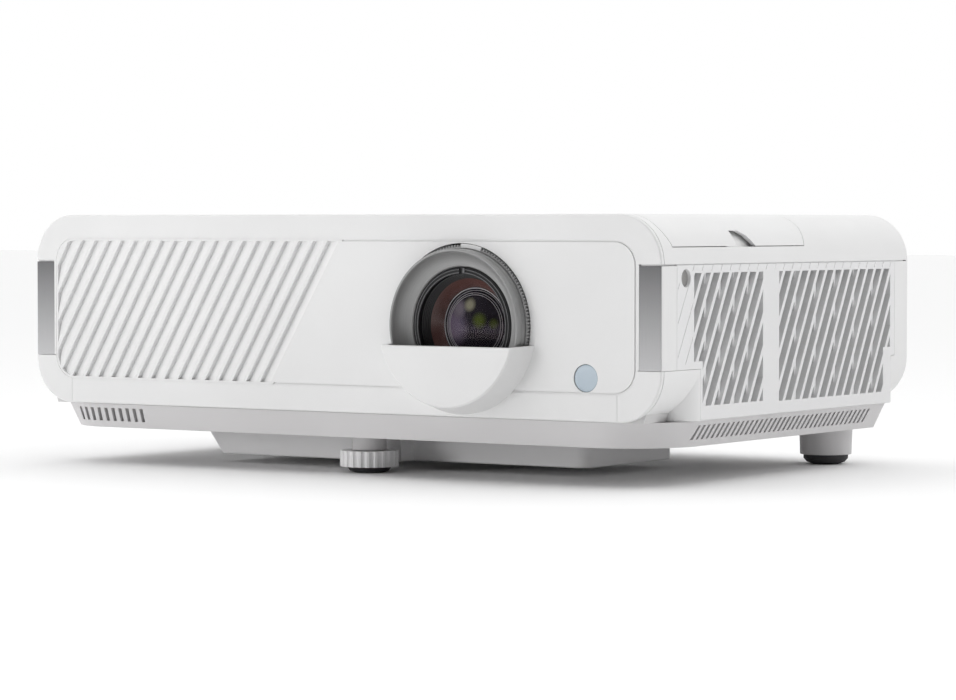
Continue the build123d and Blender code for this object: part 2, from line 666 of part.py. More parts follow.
SCOOP = (77.0, 98.0)
SCOOP_TOP = 129.0
SCOOP_SHAPE = [
    (SCOOP[0], DOOR_LOW - 1),
    (SCOOP[0], SCOOP_TOP),
    (SCOOP[1] - 12, SCOOP_TOP),
    (SCOOP[1] - 6, SCOOP_TOP - 2.5),
    (SCOOP[1] + 1, DOOR_LOW - 1),
]
with BuildPart() as access_door:
    with BuildSketch(front_plane(DOOR_FRONT_HIGH)):
        shell_outline(0)
        shell_outline(DOOR_THICK, mode=Mode.SUBTRACT)
    extrude(amount=-(DOOR_REAR_HIGH - DOOR_FRONT_HIGH))
    extrude(door_outline(DOOR_GAP, DOOR_HINGE_X), amount=FAR, mode=Mode.INTERSECT)
    with BuildSketch(front_plane(DOOR_FRONT_HIGH + DOOR_GAP)):
        with Locations((DOOR_HINGE_X, PIN_Z)):
            Circle(DOOR_BARREL_R)
    extrude(amount=-(DOOR_REAR_HIGH - DOOR_FRONT_HIGH - 2 * DOOR_GAP))
    # finger scoop: a notch in the lower edge with one slanted end
    with BuildSketch(Plane.YZ.offset(HALF_WIDTH - CORNER_R)):
        Polygon(*[(FRONT + depth, z) for depth, z in SCOOP_SHAPE], align=None)
    extrude(amount=CORNER_R + 5, mode=Mode.SUBTRACT)
    with BuildSketch(front_plane(0)):
        with Locations((DOOR_HINGE_X, PIN_Z)):
            Circle(DOOR_PIN_R + RUNNING_GAP)
    extrude(amount=-(DOOR_REAR_HIGH + 5), mode=Mode.SUBTRACT)
hand_in(access_door, "access_door")

with BuildPart() as door_pin:
    with BuildSketch(front_plane(DOOR_FRONT_HIGH - EAR_THICK + 0.2)):
        with Locations((DOOR_HINGE_X, PIN_Z)):
            Circle(DOOR_PIN_R)
    extrude(amount=-(DOOR_REAR_HIGH - DOOR_FRONT_HIGH + 2 * EAR_THICK - 0.4))
hand_in(door_pin, "door_pin")

# Control deck: the tray under the door, with the holes for the keys.
DECK_LEFT = 157.0
DECK_RIGHT = 195.5
DECK_SPAN = (13.0, 150.0)
SCOOP_INSET = 4.5
SCOOP_WALL = 2.6
SCOOP_WALL_REGION = [
    (DECK_RIGHT - 8, DECK_TOP - 1),
    (HALF_WIDTH, DECK_TOP - 1),
    (HALF_WIDTH, SCOOP_TOP + 0.5),
    (DECK_RIGHT - 8, SCOOP_TOP + 0.5),
]
KEY_R = 4.4
KEY_CLEAR = 0.3
KEY_TOP = 119.6
KEY_TRAVEL = 0.8
KEY_X = 176.5
PAD_DEPTH = 84.0
PAD_STEP = 12.5
KEYS = {
    "power_key": (KEY_X, 46.0),
    "up_key": (KEY_X, PAD_DEPTH + PAD_STEP),
    "down_key": (KEY_X, PAD_DEPTH - PAD_STEP),
    "left_key": (KEY_X - PAD_STEP, PAD_DEPTH),
    "right_key": (KEY_X + PAD_STEP, PAD_DEPTH),
    "enter_key": (KEY_X, PAD_DEPTH),
}
with BuildPart() as control_deck:
    deck_x = (DECK_LEFT, DECK_RIGHT)
    box_between(deck_x, DECK_SPAN, (DECK_TOP - DECK_THICK, DECK_TOP))
    box_between((DECK_LEFT, DECK_LEFT + 2), DECK_SPAN, (DECK_TOP - DECK_THICK, 131.5))
    for start in (DECK_SPAN[0], DECK_SPAN[1] - 2):
        box_between(deck_x, (start, start + 2), (DECK_TOP - DECK_THICK, 131.5))
    with BuildSketch(front_plane(DECK_SPAN[0])):
        shell_outline(DOOR_THICK + 0.8)
    extrude(amount=-(DECK_SPAN[1] - DECK_SPAN[0]), mode=Mode.INTERSECT)
    # curved wall of the finger recess behind the notch in the door
    with BuildSketch(front_plane(SCOOP[0] - 3)):
        shell_outline(SCOOP_INSET)
        shell_outline(SCOOP_INSET + SCOOP_WALL, mode=Mode.SUBTRACT)
        Polygon(*SCOOP_WALL_REGION, align=None, mode=Mode.INTERSECT)
    extrude(amount=-(SCOOP[1] - SCOOP[0] + 6))
    with BuildSketch(Plane.XY.offset(DECK_TOP - DECK_THICK)):
        with Locations(*[(x, FRONT + depth) for x, depth in KEYS.values()]):
            Circle(KEY_R + KEY_CLEAR)
    extrude(amount=DECK_THICK, mode=Mode.SUBTRACT)
hand_in(control_deck, "control_deck")

# Keys: a domed cap in each hole, kept in by a flange under the deck.
FLANGE_TOP = DECK_TOP - DECK_THICK - 0.4
FLANGE_LOW = FLANGE_TOP - 1.2
for name, (x, depth) in KEYS.items():
    with BuildPart() as key:
        with BuildSketch(Plane.XY.offset(FLANGE_LOW)):
            with Locations((x, FRONT + depth)):
                Circle(KEY_R + 1.2)
        extrude(amount=FLANGE_TOP - FLANGE_LOW)
        with BuildSketch(Plane.XY.offset(FLANGE_TOP)):
            with Locations((x, FRONT + depth)):
                Circle(KEY_R)
        extrude(amount=KEY_TOP - FLANGE_TOP)
        fillet(key.edges().group_by(Axis.Z)[-1], 0.6)
    hand_in(key, name)

# Keypad board with one switch under every key.
SWITCH_HIGH = 1.2
BOARD_TOP = FLANGE_LOW - KEY_TRAVEL - SWITCH_HIGH - 0.2
with BuildPart() as keypad_board:
    box_between((160.0, 194.0), (22.0, 134.0), (BOARD_TOP - 1.6, BOARD_TOP))
    for x, depth in KEYS.values():
        box_between((x - 2.5, x + 2.5), (depth - 2.5, depth + 2.5), (BOARD_TOP, BOARD_TOP + SWITCH_HIGH))
hand_in(keypad_board, "keypad_board")

# ================= lens =================


def turned(points):
    """Sketch for a turned piece on the lens axis: each point is a radius and a depth."""
    with BuildSketch(Plane(origin=(LENS_X, FRONT, LENS_Z), x_dir=(1, 0, 0), z_dir=(0, 0, 1))) as profile:
        Polygon(*points, align=None)
    return profile.sketch


LENS_AXIS = Axis((LENS_X, 0, LENS_Z), (0, 1, 0))
FOCUS_BACK = 9.0
HUB_R = 34.0
ZOOM_R = 41.5
ZOOM_FRONT = 0.6
ZOOM_BACK = 13.0
ZOOM_TEETH = 72
BARREL_FRONT = 0.9
BARREL_BACK = 96.0
BARREL_SEAT = 72.0
TURNING_R = BARREL_R + RUNNING_GAP

# Fixed barrel with the flange that bolts it to the light engine.
with BuildPart() as lens_barrel:
    tube = [(BARREL_BORE, BARREL_FRONT), (BARREL_R, BARREL_FRONT), (BARREL_R, 22)]
    flange = [(46, 22), (46, 27), (BARREL_R + 2, 27)]
    tail = [(BARREL_R + 2, BARREL_BACK), (14.0, BARREL_BACK), (14.0, 83.0)]
    seat = [(16.0, 83.0), (16.0, BARREL_SEAT), (BARREL_BORE, BARREL_SEAT)]
    revolve(turned(tube + flange + tail + seat), axis=LENS_AXIS)
hand_in(lens_barrel, "lens_barrel")

# Focus ring: bright funnel in front, hub behind that turns on the barrel.
with BuildPart() as focus_ring:
    lip = [(38.6, -FOCUS_REACH), (39.1, -FOCUS_REACH), (FOCUS_R, -FOCUS_REACH + 0.5)]
    skirt = [(FOCUS_R, -0.2), (HUB_R, -0.2), (HUB_R, FOCUS_BACK)]
    hub = [(TURNING_R, FOCUS_BACK), (TURNING_R, 2.2), (31.9, 2.2), (31.9, 0.4)]
    revolve(turned(lip + skirt + hub), axis=LENS_AXIS)
hand_in(focus_ring, "focus_ring")

# Zoom ring: serrated rim round the focus hub, with a web that turns on the barrel.
with BuildPart() as zoom_ring:
    rim = [(HUB_R + 0.5, ZOOM_FRONT), (ZOOM_R - 0.6, ZOOM_FRONT), (ZOOM_R, ZOOM_FRONT + 0.6)]
    web_front = FOCUS_BACK + 0.5
    web = [(ZOOM_R, ZOOM_BACK), (TURNING_R, ZOOM_BACK), (TURNING_R, web_front), (HUB_R + 0.5, web_front)]
    revolve(turned(rim + web), axis=LENS_AXIS)
    with BuildSketch(lens_plane(ZOOM_FRONT - 1)):
        with PolarLocations(ZOOM_R + 0.2, ZOOM_TEETH):
            Circle(0.8)
    extrude(amount=-(ZOOM_BACK - ZOOM_FRONT - 1), mode=Mode.SUBTRACT)
hand_in(zoom_ring, "zoom_ring")

# Zoom tab: a small finger tab on the front of the zoom ring, just right of its top.
TAB_ANGLE = 81.0
TAB_SWEEP = 17.0
with BuildPart() as zoom_tab:
    with BuildSketch(lens_plane(-0.6)):
        Circle(ZOOM_R + 0.5)
        Circle(FOCUS_R + 0.5, mode=Mode.SUBTRACT)
        edge_angles = [math.radians(TAB_ANGLE + half * TAB_SWEEP / 2) for half in (-1, 1)]
        wedge = [(60 * math.cos(angle), 60 * math.sin(angle)) for angle in edge_angles]
        Polygon((0, 0), *wedge, align=None, mode=Mode.INTERSECT)
    extrude(amount=-(0.6 + ZOOM_FRONT))
hand_in(zoom_tab, "zoom_tab")

# Front lens cell: black stepped baffles in front of the glass. It slides as the focus turns.
CELL_R = BARREL_BORE - RUNNING_GAP
CELL_FRONT = 3.2
CELL_BACK = 30.0
LENS_R = 18.7
with BuildPart() as front_lens_cell:
    baffles = [(26.0, CELL_FRONT), (25.2, 4.6), (24.6, 4.6), (23.9, 6.4), (23.2, 6.4), (22.5, 8.2)]
    seat = [(20.6, 8.2), (19.3, 13.6), (LENS_R, 13.6), (LENS_R, 23.0), (16.5, 23.0)]
    outside = [(16.5, CELL_BACK), (CELL_R, CELL_BACK), (CELL_R, CELL_FRONT)]
    revolve(turned(baffles + seat + outside), axis=LENS_AXIS)
hand_in(front_lens_cell, "front_lens_cell")


def dome_middle(radius, bulge):
    """A point half way along a spherical cap: its radius, and its height above the rim."""
    sphere = (radius**2 + bulge**2) / (2 * bulge)
    half = math.asin(radius / sphere) / 2
    return sphere * math.sin(half), bulge - sphere * (1 - math.cos(half))


def lens_element(rim_depth, radius, front_bulge, rear_bulge, thickness):
    """A glass element: each face bulges outwards from the rim by its own amount."""
    back = rim_depth + thickness
    front_r, front_h = dome_middle(radius, front_bulge)
    rear_r, rear_h = dome_middle(radius, rear_bulge)
    front_pole = (0, rim_depth - front_bulge)
    rear_pole = (0, back + rear_bulge)
    with BuildSketch(Plane(origin=(LENS_X, FRONT, LENS_Z), x_dir=(1, 0, 0), z_dir=(0, 0, 1))) as profile:
        with BuildLine():
            ThreePointArc(front_pole, (front_r, rim_depth - front_h), (radius, rim_depth))
            Line((radius, rim_depth), (radius, back))
            ThreePointArc((radius, back), (rear_r, back + rear_h), rear_pole)
            Line(rear_pole, front_pole)
        make_face()
    return profile.sketch


ELEMENTS = {
    "front_lens": (14.4, LENS_R, 4.2, 0.8, 5.2),
    "zoom_lens_group": (46.0, 18.0, 3.0, 2.0, 6.0),
    "rear_lens_group": (76.0, 16.0, 2.5, 1.0, 6.0),
}
for name, (depth, radius, front_bulge, rear_bulge, thickness) in ELEMENTS.items():
    with BuildPart() as element:
        revolve(lens_element(depth, radius, front_bulge, rear_bulge, thickness), axis=LENS_AXIS)
    hand_in(element, name)

# The carrier of the zoom lens group: it slides in the barrel as the zoom ring turns.
with BuildPart() as zoom_carrier:
    carrier = [(18.0, 42), (CELL_R, 42), (CELL_R, 58), (16.0, 58), (16.0, 52.8), (18.0, 52.8)]
    revolve(turned(carrier), axis=LENS_AXIS)
hand_in(zoom_carrier, "zoom_carrier")

# ================= inside =================

# Light engine: the housing behind the lens with its prism tunnel and the imager board.
with BuildPart() as light_engine:
    box_between((40, 128), (BARREL_BACK + 0.5, 150), (42, 112))
    box_between((-44, 40), (112, 150), (48, 104))
    with BuildSketch(lens_plane(BARREL_BACK + 0.5)):
        Circle(15)
    extrude(amount=-20, mode=Mode.SUBTRACT)
hand_in(light_engine, "light_engine")

with BuildPart() as imager_board:
    box_between((46, 122), (150.3, 152.0), (46, 108))
    box_between((66, 100), (152.0, 164.0), (60, 98))
hand_in(imager_board, "imager_board")

# LED lamps and the finned heat sinks that cool them.
with BuildPart() as led_modules:
    for x in (-30.0, 0.0):
        box_between((x - 11, x + 11), (150.3, 160.0), (58, 94))
hand_in(led_modules, "led_modules")

with BuildPart() as led_heat_sink:
    box_between((-46, 16), (160.3, 164.5), (46, 108))
    for index in range(13):
        x = -45.0 + index * 5.0
        box_between((x - 0.7, x + 0.7), (164.5, 196.0), (46, 108))
hand_in(led_heat_sink, "led_heat_sink")

with BuildPart() as heat_pipes:
    for z in (66.0, 88.0):
        with BuildSketch(Plane.YZ.offset(-158.0)):
            with Locations((FRONT + 132.0, z)):
                Circle(3.0)
        extrude(amount=113.5)
hand_in(heat_pipes, "heat_pipes")

with BuildPart() as exhaust_heat_sink:
    for index in range(12):
        x = -158.0 + index * 4.0
        box_between((x, x + 1.0), (106, 158), (44, 108))
    box_between((-158, -113), (106, 158), (44, 46))
    for z in (66.0, 88.0):
        with BuildSketch(Plane.YZ.offset(-159.0)):
            with Locations((FRONT + 132.0, z)):
                Circle(3.0)
        extrude(amount=60, mode=Mode.SUBTRACT)
hand_in(exhaust_heat_sink, "exhaust_heat_sink")

# Two exhaust fans side by side behind the left grille.
FAN_SIZE = 70.0
FAN_X = (-190.0, -170.0)
FAN_Z = 74.0
FAN_DEPTHS = {"front": 76.0, "rear": 178.0}
FAN_BLADES = 7
for word, depth in FAN_DEPTHS.items():
    centre = (FRONT + depth, FAN_Z)
    with BuildPart() as fan_frame:
        with BuildSketch(Plane.YZ.offset(FAN_X[0])):
            with Locations(centre):
                RectangleRounded(FAN_SIZE, FAN_SIZE, 4)
                Circle(FAN_SIZE / 2 - 2, mode=Mode.SUBTRACT)
        extrude(amount=FAN_X[1] - FAN_X[0])
        with BuildSketch(Plane.YZ.offset(FAN_X[0])):
            with Locations(centre):
                Circle(13)
                for angle in (45, 135):
                    Rectangle(FAN_SIZE + 2, 3, rotation=angle)
        extrude(amount=2.0)
        with BuildSketch(Plane.YZ.offset(FAN_X[0] + 2)):
            with Locations(centre):
                Circle(3.0)
        extrude(amount=12.0)
    hand_in(fan_frame, f"fan_frame_{word}")
    with BuildPart() as fan_rotor:
        with BuildSketch(Plane.YZ.offset(FAN_X[0] + 3)):
            with Locations(centre):
                Circle(14)
                Circle(3.0 + RUNNING_GAP, mode=Mode.SUBTRACT)
        extrude(amount=14.0)
        for blade in range(FAN_BLADES):
            turn = 360.0 / FAN_BLADES * blade
            hub_plane = Plane(origin=(FAN_X[0] + 10, centre[0], FAN_Z), x_dir=(1, 0, 0), z_dir=(0, 0, 1))
            spoke = hub_plane.rotated((turn, 0, 0)).offset(13.0)
            with BuildSketch(spoke):
                Rectangle(1.4, 15.0, rotation=38)
            extrude(amount=18.0)
    hand_in(fan_rotor, f"fan_rotor_{word}")

# Boards, on the base and behind the rear wall.
with BuildPart() as power_board:
    box_between((-150, -20), (20, 98), (36.5, 38.1))
    for x, depth, width, length, height in (
        (-128, 40, 30, 26, 30),
        (-88, 42, 24, 34, 34),
        (-52, 38, 34, 22, 24),
        (-120, 78, 20, 20, 26),
        (-70, 80, 44, 16, 18),
    ):
        spans = ((x - width / 2, x + width / 2), (depth - length / 2, depth + length / 2))
        box_between(*spans, (38.1, 38.1 + height))
hand_in(power_board, "power_board")

with BuildPart() as main_board:
    box_between((-84, 76), (202, 262), (50.5, 52.1))
    box_between((-30, 10), (208, 240), (52.1, 62.0))
    box_between((30, 48), (212, 232), (52.1, 55.0))
hand_in(main_board, "main_board")

with BuildPart() as ir_receiver:
    box_between((IR_X - 9, IR_X + 9), (9.0, 10.6), (IR_Z - 9, IR_Z + 9))
    box_between((IR_X - 3.5, IR_X + 3.5), (5.0, 9.0), (IR_Z - 4, IR_Z + 4))
hand_in(ir_receiver, "ir_receiver")

# A speaker box inside each rear corner, and the dust filter behind the right grille.
for side, word in ((-1, "left"), (1, "right")):
    with BuildPart() as speaker:
        x = sorted((side * 128.0, side * 165.0))
        box_between(x, (190, 246), (42, 106))
        with BuildSketch(Plane.YZ.offset(side * 165.0)):
            with Locations((FRONT + 218.0, 74.0)):
                Circle(22)
        extrude(amount=side * 4.0)
    hand_in(speaker, f"speaker_{word}")

with BuildPart() as dust_filter:
    box_between((186.0, 190.0), (40, 246), (40, 109))
hand_in(dust_filter, "dust_filter")

# ================= sockets in the rear wall =================

SOCKET_FACE = SHELL_DEPTH - 0.3


def socket_shell(centre, size, wall, depth):
    """A metal socket shell, open to the rear, closed at its inner end."""
    x, z = centre
    width, height = size
    spans = ((x - width / 2, x + width / 2), (z - height / 2, z + height / 2))
    box_between(spans[0], (SOCKET_FACE - depth, SOCKET_FACE), spans[1])
    inner = ((spans[0][0] + wall, spans[0][1] - wall), (spans[1][0] + wall, spans[1][1] - wall))
    box_between(inner[0], (SOCKET_FACE - depth + 2, SOCKET_FACE + 1), inner[1], mode=Mode.SUBTRACT)


SOCKET_FIT = 0.3
with BuildPart() as signal_sockets:
    for x in HDMI_X:
        socket_shell((x, PORT_Z), (HDMI[0] - 2 * SOCKET_FIT, HDMI[1] - 2 * SOCKET_FIT), 0.5, 14)
        box_between((x - 5.0, x + 5.0), (SOCKET_FACE - 13, SOCKET_FACE - 2), (PORT_Z - 0.5, PORT_Z + 0.5))
    socket_shell((USB_X, PORT_Z), (USB[0] - 2 * SOCKET_FIT, USB[1] - 2 * SOCKET_FIT), 0.4, 14)
    box_between((USB_X - 5.5, USB_X + 5.5), (SOCKET_FACE - 13, SOCKET_FACE - 2), (PORT_Z + 0.4, PORT_Z + 2.0))
    socket_shell((SERIAL_X, PORT_Z), (SERIAL[0] - 2 * SOCKET_FIT, SERIAL[1] - 2 * SOCKET_FIT), 1.2, 10)
    for row, count in ((-1.4, 5), (1.4, 4)):
        for index in range(count):
            x = SERIAL_X + (index - (count - 1) / 2) * 2.8
            pin_z = PORT_Z + row
            box_between((x - 0.5, x + 0.5), (SOCKET_FACE - 9, SOCKET_FACE - 2), (pin_z - 0.5, pin_z + 0.5))
hand_in(signal_sockets, "signal_sockets")

AUDIO_BORE = 1.8
with BuildPart() as audio_socket:
    with BuildSketch(front_plane(SOCKET_FACE - 14)):
        with Locations((AUDIO_X, PORT_Z)):
            Circle(AUDIO_R - SOCKET_FIT)
    extrude(amount=-14)
    with BuildSketch(front_plane(SOCKET_FACE - 12)):
        with Locations((AUDIO_X, PORT_Z)):
            Circle(AUDIO_BORE)
    extrude(amount=-13, mode=Mode.SUBTRACT)
hand_in(audio_socket, "audio_socket")

with BuildPart() as power_inlet:
    socket_shell((INLET_X, INLET_Z), (INLET[0] - 2 * SOCKET_FIT, INLET[1] - 2 * SOCKET_FIT), 1.8, 22)
    for x, z in ((-7.0, -1.5), (7.0, -1.5), (0.0, 2.5)):
        pin_x, pin_z = INLET_X + x, INLET_Z + z
        box_between((pin_x - 1, pin_x + 1), (SOCKET_FACE - 21, SOCKET_FACE - 4), (pin_z - 2, pin_z + 2))
hand_in(power_inlet, "power_inlet")
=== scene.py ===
import bpy
import bmesh
import json
import math
from mathutils import Matrix, Vector


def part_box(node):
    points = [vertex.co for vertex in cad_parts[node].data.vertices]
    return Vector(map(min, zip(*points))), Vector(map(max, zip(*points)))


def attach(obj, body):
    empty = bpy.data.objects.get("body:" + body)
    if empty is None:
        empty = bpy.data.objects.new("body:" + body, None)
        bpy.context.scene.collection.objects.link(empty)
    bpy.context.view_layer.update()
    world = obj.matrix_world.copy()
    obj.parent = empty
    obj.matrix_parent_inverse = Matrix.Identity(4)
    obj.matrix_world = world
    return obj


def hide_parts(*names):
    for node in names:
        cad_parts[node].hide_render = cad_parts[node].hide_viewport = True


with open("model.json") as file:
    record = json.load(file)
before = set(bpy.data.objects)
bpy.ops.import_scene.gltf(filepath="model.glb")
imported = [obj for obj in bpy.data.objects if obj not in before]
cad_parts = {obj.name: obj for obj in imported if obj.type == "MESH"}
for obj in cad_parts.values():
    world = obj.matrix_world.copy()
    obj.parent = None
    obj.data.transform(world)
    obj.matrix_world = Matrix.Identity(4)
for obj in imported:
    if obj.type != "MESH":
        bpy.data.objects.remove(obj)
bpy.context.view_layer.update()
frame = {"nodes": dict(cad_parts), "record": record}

# Home projector. Metres, +Z up, the lens looks along -Y and +X is to the right of its viewer.
# A depth is counted in mm backwards from the front face, and an outline is in mm.
MM = 0.001
NODES = frame["nodes"]
SIDES = ((1, "right"), (-1, "left"))
FRONT_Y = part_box("front_frame")[0].y
SHELL_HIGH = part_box("rear_cap")[1]


def middle(node):
    """The middle of a CAD node's box."""
    low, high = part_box(node)
    return (low + high) / 2


def radius_of(node):
    """Half the width of a round CAD node, in mm."""
    low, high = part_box(node)
    return (high.x - low.x) / 2 / MM


def depths_of(node):
    """The depths of a CAD node's front and back."""
    low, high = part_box(node)
    return (low.y - FRONT_Y) / MM, (high.y - FRONT_Y) / MM


LENS = middle("focus_ring")


# ---------------------------------------------------------------- materials

def start_material(name, **values):
    """A material with one Principled shader whose sockets take the given values."""
    made = bpy.data.materials.new(name)
    made.use_nodes = True
    tree = made.node_tree
    tree.nodes.clear()
    output = tree.nodes.new("ShaderNodeOutputMaterial")
    shader = tree.nodes.new("ShaderNodeBsdfPrincipled")
    tree.links.new(shader.outputs["BSDF"], output.inputs["Surface"])
    for socket, value in values.items():
        target = shader.inputs[socket.replace("_", " ")]
        target.default_value = (*value, 1.0) if isinstance(value, tuple) else value
    return made, tree, shader


def add_node(tree, kind, **values):
    """A shader node: names that it has as properties are set there, the others on its sockets."""
    made = tree.nodes.new(kind)
    for name, value in values.items():
        if hasattr(made, name):
            setattr(made, name, value)
        else:
            made.inputs[name.replace("_", " ")].default_value = value
    return made


def object_place(tree):
    """The place on the surface, in the object's own metres."""
    return add_node(tree, "ShaderNodeTexCoord").outputs["Object"]


def noise(tree, scale, detail=3.0, roughness=0.55):
    """Noise in the object's own metres: scale is in features per metre."""
    made = add_node(tree, "ShaderNodeTexNoise", Scale=scale, Detail=detail, Roughness=roughness)
    tree.links.new(object_place(tree), made.inputs["Vector"])
    return made.outputs["Fac"]


def off_axis(tree, x, z):
    """The distance in metres from an axis along Y, through x and z."""
    shift = add_node(tree, "ShaderNodeVectorMath", operation="SUBTRACT")
    shift.inputs[1].default_value = (x, 0, z)
    flat = add_node(tree, "ShaderNodeVectorMath", operation="MULTIPLY")
    flat.inputs[1].default_value = (1, 0, 1)
    far = add_node(tree, "ShaderNodeVectorMath", operation="LENGTH")
    tree.links.new(object_place(tree), shift.inputs[0])
    tree.links.new(shift.outputs[0], flat.inputs[0])
    tree.links.new(flat.outputs[0], far.inputs[0])
    return far.outputs["Value"]


def spread(tree, value, low, high, start=0.3, end=0.7):
    """A value between start and end brought to the range from low to high."""
    made = add_node(tree, "ShaderNodeMapRange")
    for index, number in enumerate((start, end, low, high), 1):
        made.inputs[index].default_value = number
    tree.links.new(value, made.inputs[0])
    return made.outputs[0]


def tone(tree, value, dark, light, start=0.3, end=0.7):
    """A colour that follows a value between two colours."""
    made = add_node(tree, "ShaderNodeValToRGB")
    ramp = made.color_ramp
    ramp.elements[0].position, ramp.elements[1].position = start, end
    ramp.elements[0].color, ramp.elements[1].color = (*dark, 1), (*light, 1)
    tree.links.new(value, made.inputs[0])
    return made.outputs[0]


def mix(tree, blend, factor, first, second):
    """Two colours mixed: each value is a socket to link, or is the same all over."""
    made = add_node(tree, "ShaderNodeMix", data_type="RGBA", blend_type=blend)
    for socket, value in ((made.inputs["Factor"], factor), (made.inputs[6], first), (made.inputs[7], second)):
        if isinstance(value, bpy.types.NodeSocket):
            tree.links.new(value, socket)
        else:
            socket.default_value = value
    return made.outputs[2]


def scaled(colour, factor):
    """A colour made lighter or darker."""
    return tuple(min(1.0, channel * factor) for channel in colour)


def shade(tree, shader, value, colour, low, high):
    """Colours the shader: the colour times low to high, as a value rises."""
    tree.links.new(tone(tree, value, scaled(colour, low), scaled(colour, high)), shader.inputs["Base Color"])


def polish(tree, shader, value, low, high):
    """Sets the shader's roughness: from low to high, as a value rises."""
    tree.links.new(spread(tree, value, low, high), shader.inputs["Roughness"])


def bump(tree, shader, height, distance, strength=1.0):
    """Raises the shader's surface by a height that runs from 0 to 1."""
    made = add_node(tree, "ShaderNodeBump", Distance=distance, Strength=strength)
    tree.links.new(height, made.inputs["Height"])
    tree.links.new(made.outputs["Normal"], shader.inputs["Normal"])


def moulded(name, colour, roughness, grain=1500.0, depth=0.02, drift=0.02, **values):
    """Moulded plastic: a spark-eroded grain, a little uneven in gloss and colour."""
    made, tree, shader = start_material(name, **values)
    slow = noise(tree, 14.0, 2.0)
    fine = noise(tree, grain, 4.0, 0.6)
    shade(tree, shader, slow, colour, 1 - drift, 1 + drift)
    polish(tree, shader, fine, roughness - 0.06, roughness + 0.06)
    bump(tree, shader, fine, depth * MM, 0.6)
    return made


def turned_metal(name, colour, roughness, metallic):
    """Metal turned on a lathe: fine rings round the lens axis."""
    made, tree, shader = start_material(name, Metallic=metallic)
    rings = add_node(tree, "ShaderNodeTexNoise", noise_dimensions="1D", Scale=1 / (0.35 * MM), Detail=2.0)
    tree.links.new(off_axis(tree, LENS.x, LENS.z), rings.inputs["W"])
    shade(tree, shader, rings.outputs["Fac"], colour, 0.93, 1.05)
    polish(tree, shader, rings.outputs["Fac"], roughness - 0.05, roughness + 0.07)
    bump(tree, shader, rings.outputs["Fac"], 0.01 * MM, 0.5)
    return made


def brushed_metal(name, colour, roughness, stretch, metallic=1.0):
    """Metal or metallic paint with a fine grain, drawn out along the axis of the least stretch."""
    made, tree, shader = start_material(name, Metallic=metallic)
    scale = add_node(tree, "ShaderNodeMapping")
    scale.inputs["Scale"].default_value = stretch
    grain = add_node(tree, "ShaderNodeTexNoise", Scale=1.0, Detail=4.0, Roughness=0.6)
    tree.links.new(object_place(tree), scale.inputs["Vector"])
    tree.links.new(scale.outputs["Vector"], grain.inputs["Vector"])
    shade(tree, shader, grain.outputs["Fac"], colour, 0.95, 1.05)
    polish(tree, shader, grain.outputs["Fac"], roughness - 0.06, roughness + 0.08)
    bump(tree, shader, grain.outputs["Fac"], 0.008 * MM, 0.5)
    return made


def trim_with_painted_reflection(name, node, painted_light_low, painted_shade_high, side):
    """Anodised trim, brushed upwards, with painted reflection: its front darker towards the top as painted
    shade and its side leg bright as a painted highlight.
    """
    made = brushed_metal(name, (1, 1, 1), 0.34, (2500, 2500, 60), metallic=0.25)
    tree = made.node_tree
    base = tree.nodes["Principled BSDF"].inputs["Base Color"]
    grain = base.links[0].from_socket
    axes = add_node(tree, "ShaderNodeSeparateXYZ")
    tree.links.new(object_place(tree), axes.inputs[0])
    low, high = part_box(node)
    # Painted reflection: the front is light at the bottom and dark at the top.
    front = tone(tree, spread(tree, axes.outputs["Z"], 0, 1, low.z, high.z), painted_light_low, painted_shade_high, 0.0, 1.0)
    # Painted highlight: faces turned sideways take the bright side colour.
    facing = add_node(tree, "ShaderNodeNewGeometry")
    normal = add_node(tree, "ShaderNodeSeparateXYZ")
    tree.links.new(facing.outputs["Normal"], normal.inputs[0])
    side_highlight_mask = add_node(tree, "ShaderNodeMath", operation="ABSOLUTE")
    tree.links.new(normal.outputs["X"], side_highlight_mask.inputs[0])
    colour = mix(tree, "MIX", spread(tree, side_highlight_mask.outputs[0], 0, 1, 0.5, 0.9), front, (*side, 1))
    tree.links.new(mix(tree, "MULTIPLY", 1.0, colour, grain), base)
    return made


def coated_glass(name, tint, film, roughness, gloss):
    """Optical glass under a coating that colours what it reflects, with faint dust."""
    made, tree, shader = start_material(
        name, Base_Color=tint, IOR=1.52, Transmission_Weight=1.0, Specular_IOR_Level=gloss,
        Thin_Film_Thickness=film, Thin_Film_IOR=1.38,
    )
    dust = noise(tree, 900.0, 5.0, 0.7)
    tree.links.new(spread(tree, dust, roughness, roughness + 0.04, 0.55, 0.8), shader.inputs["Roughness"])
    return made


def painted_reflection_mask(tree, place, radius):
    """The mask of a painted reflection: 1 at a place on the lens and 0 from a radius on, seen along the lens
    axis; in mm from the axis.
    """
    far = off_axis(tree, LENS.x + place[0] * MM, LENS.z + place[1] * MM)
    return spread(tree, far, 1, 0, radius * 0.35 * MM, radius * MM)


def element_with_painted_reflections(name, dark, painted_reflections):
    """An element in front of a dark barrel, with painted reflections: patches of the colours that its
    coatings throw back, painted into its colour.
    """
    made, tree, shader = start_material(name, IOR=1.22, Specular_Tint=(0.80, 0.72, 1.0))
    colour = tone(tree, noise(tree, 160.0), scaled(dark, 0.7), scaled(dark, 1.4))
    for place, radius, tint in painted_reflections:
        colour = mix(tree, "MIX", painted_reflection_mask(tree, place, radius), colour, (*tint, 1))
    tree.links.new(colour, shader.inputs["Base Color"])
    polish(tree, shader, noise(tree, 60.0), 0.03, 0.06)
    return made


def thin_cover(name, tint, share):
    """A coated cover glass: it lets all but a small share through and mirrors that share."""
    made, tree, shader = start_material(name, Base_Color=tint, Metallic=0.8, Alpha=share)
    polish(tree, shader, noise(tree, 60.0), 0.03, 0.06)
    return made


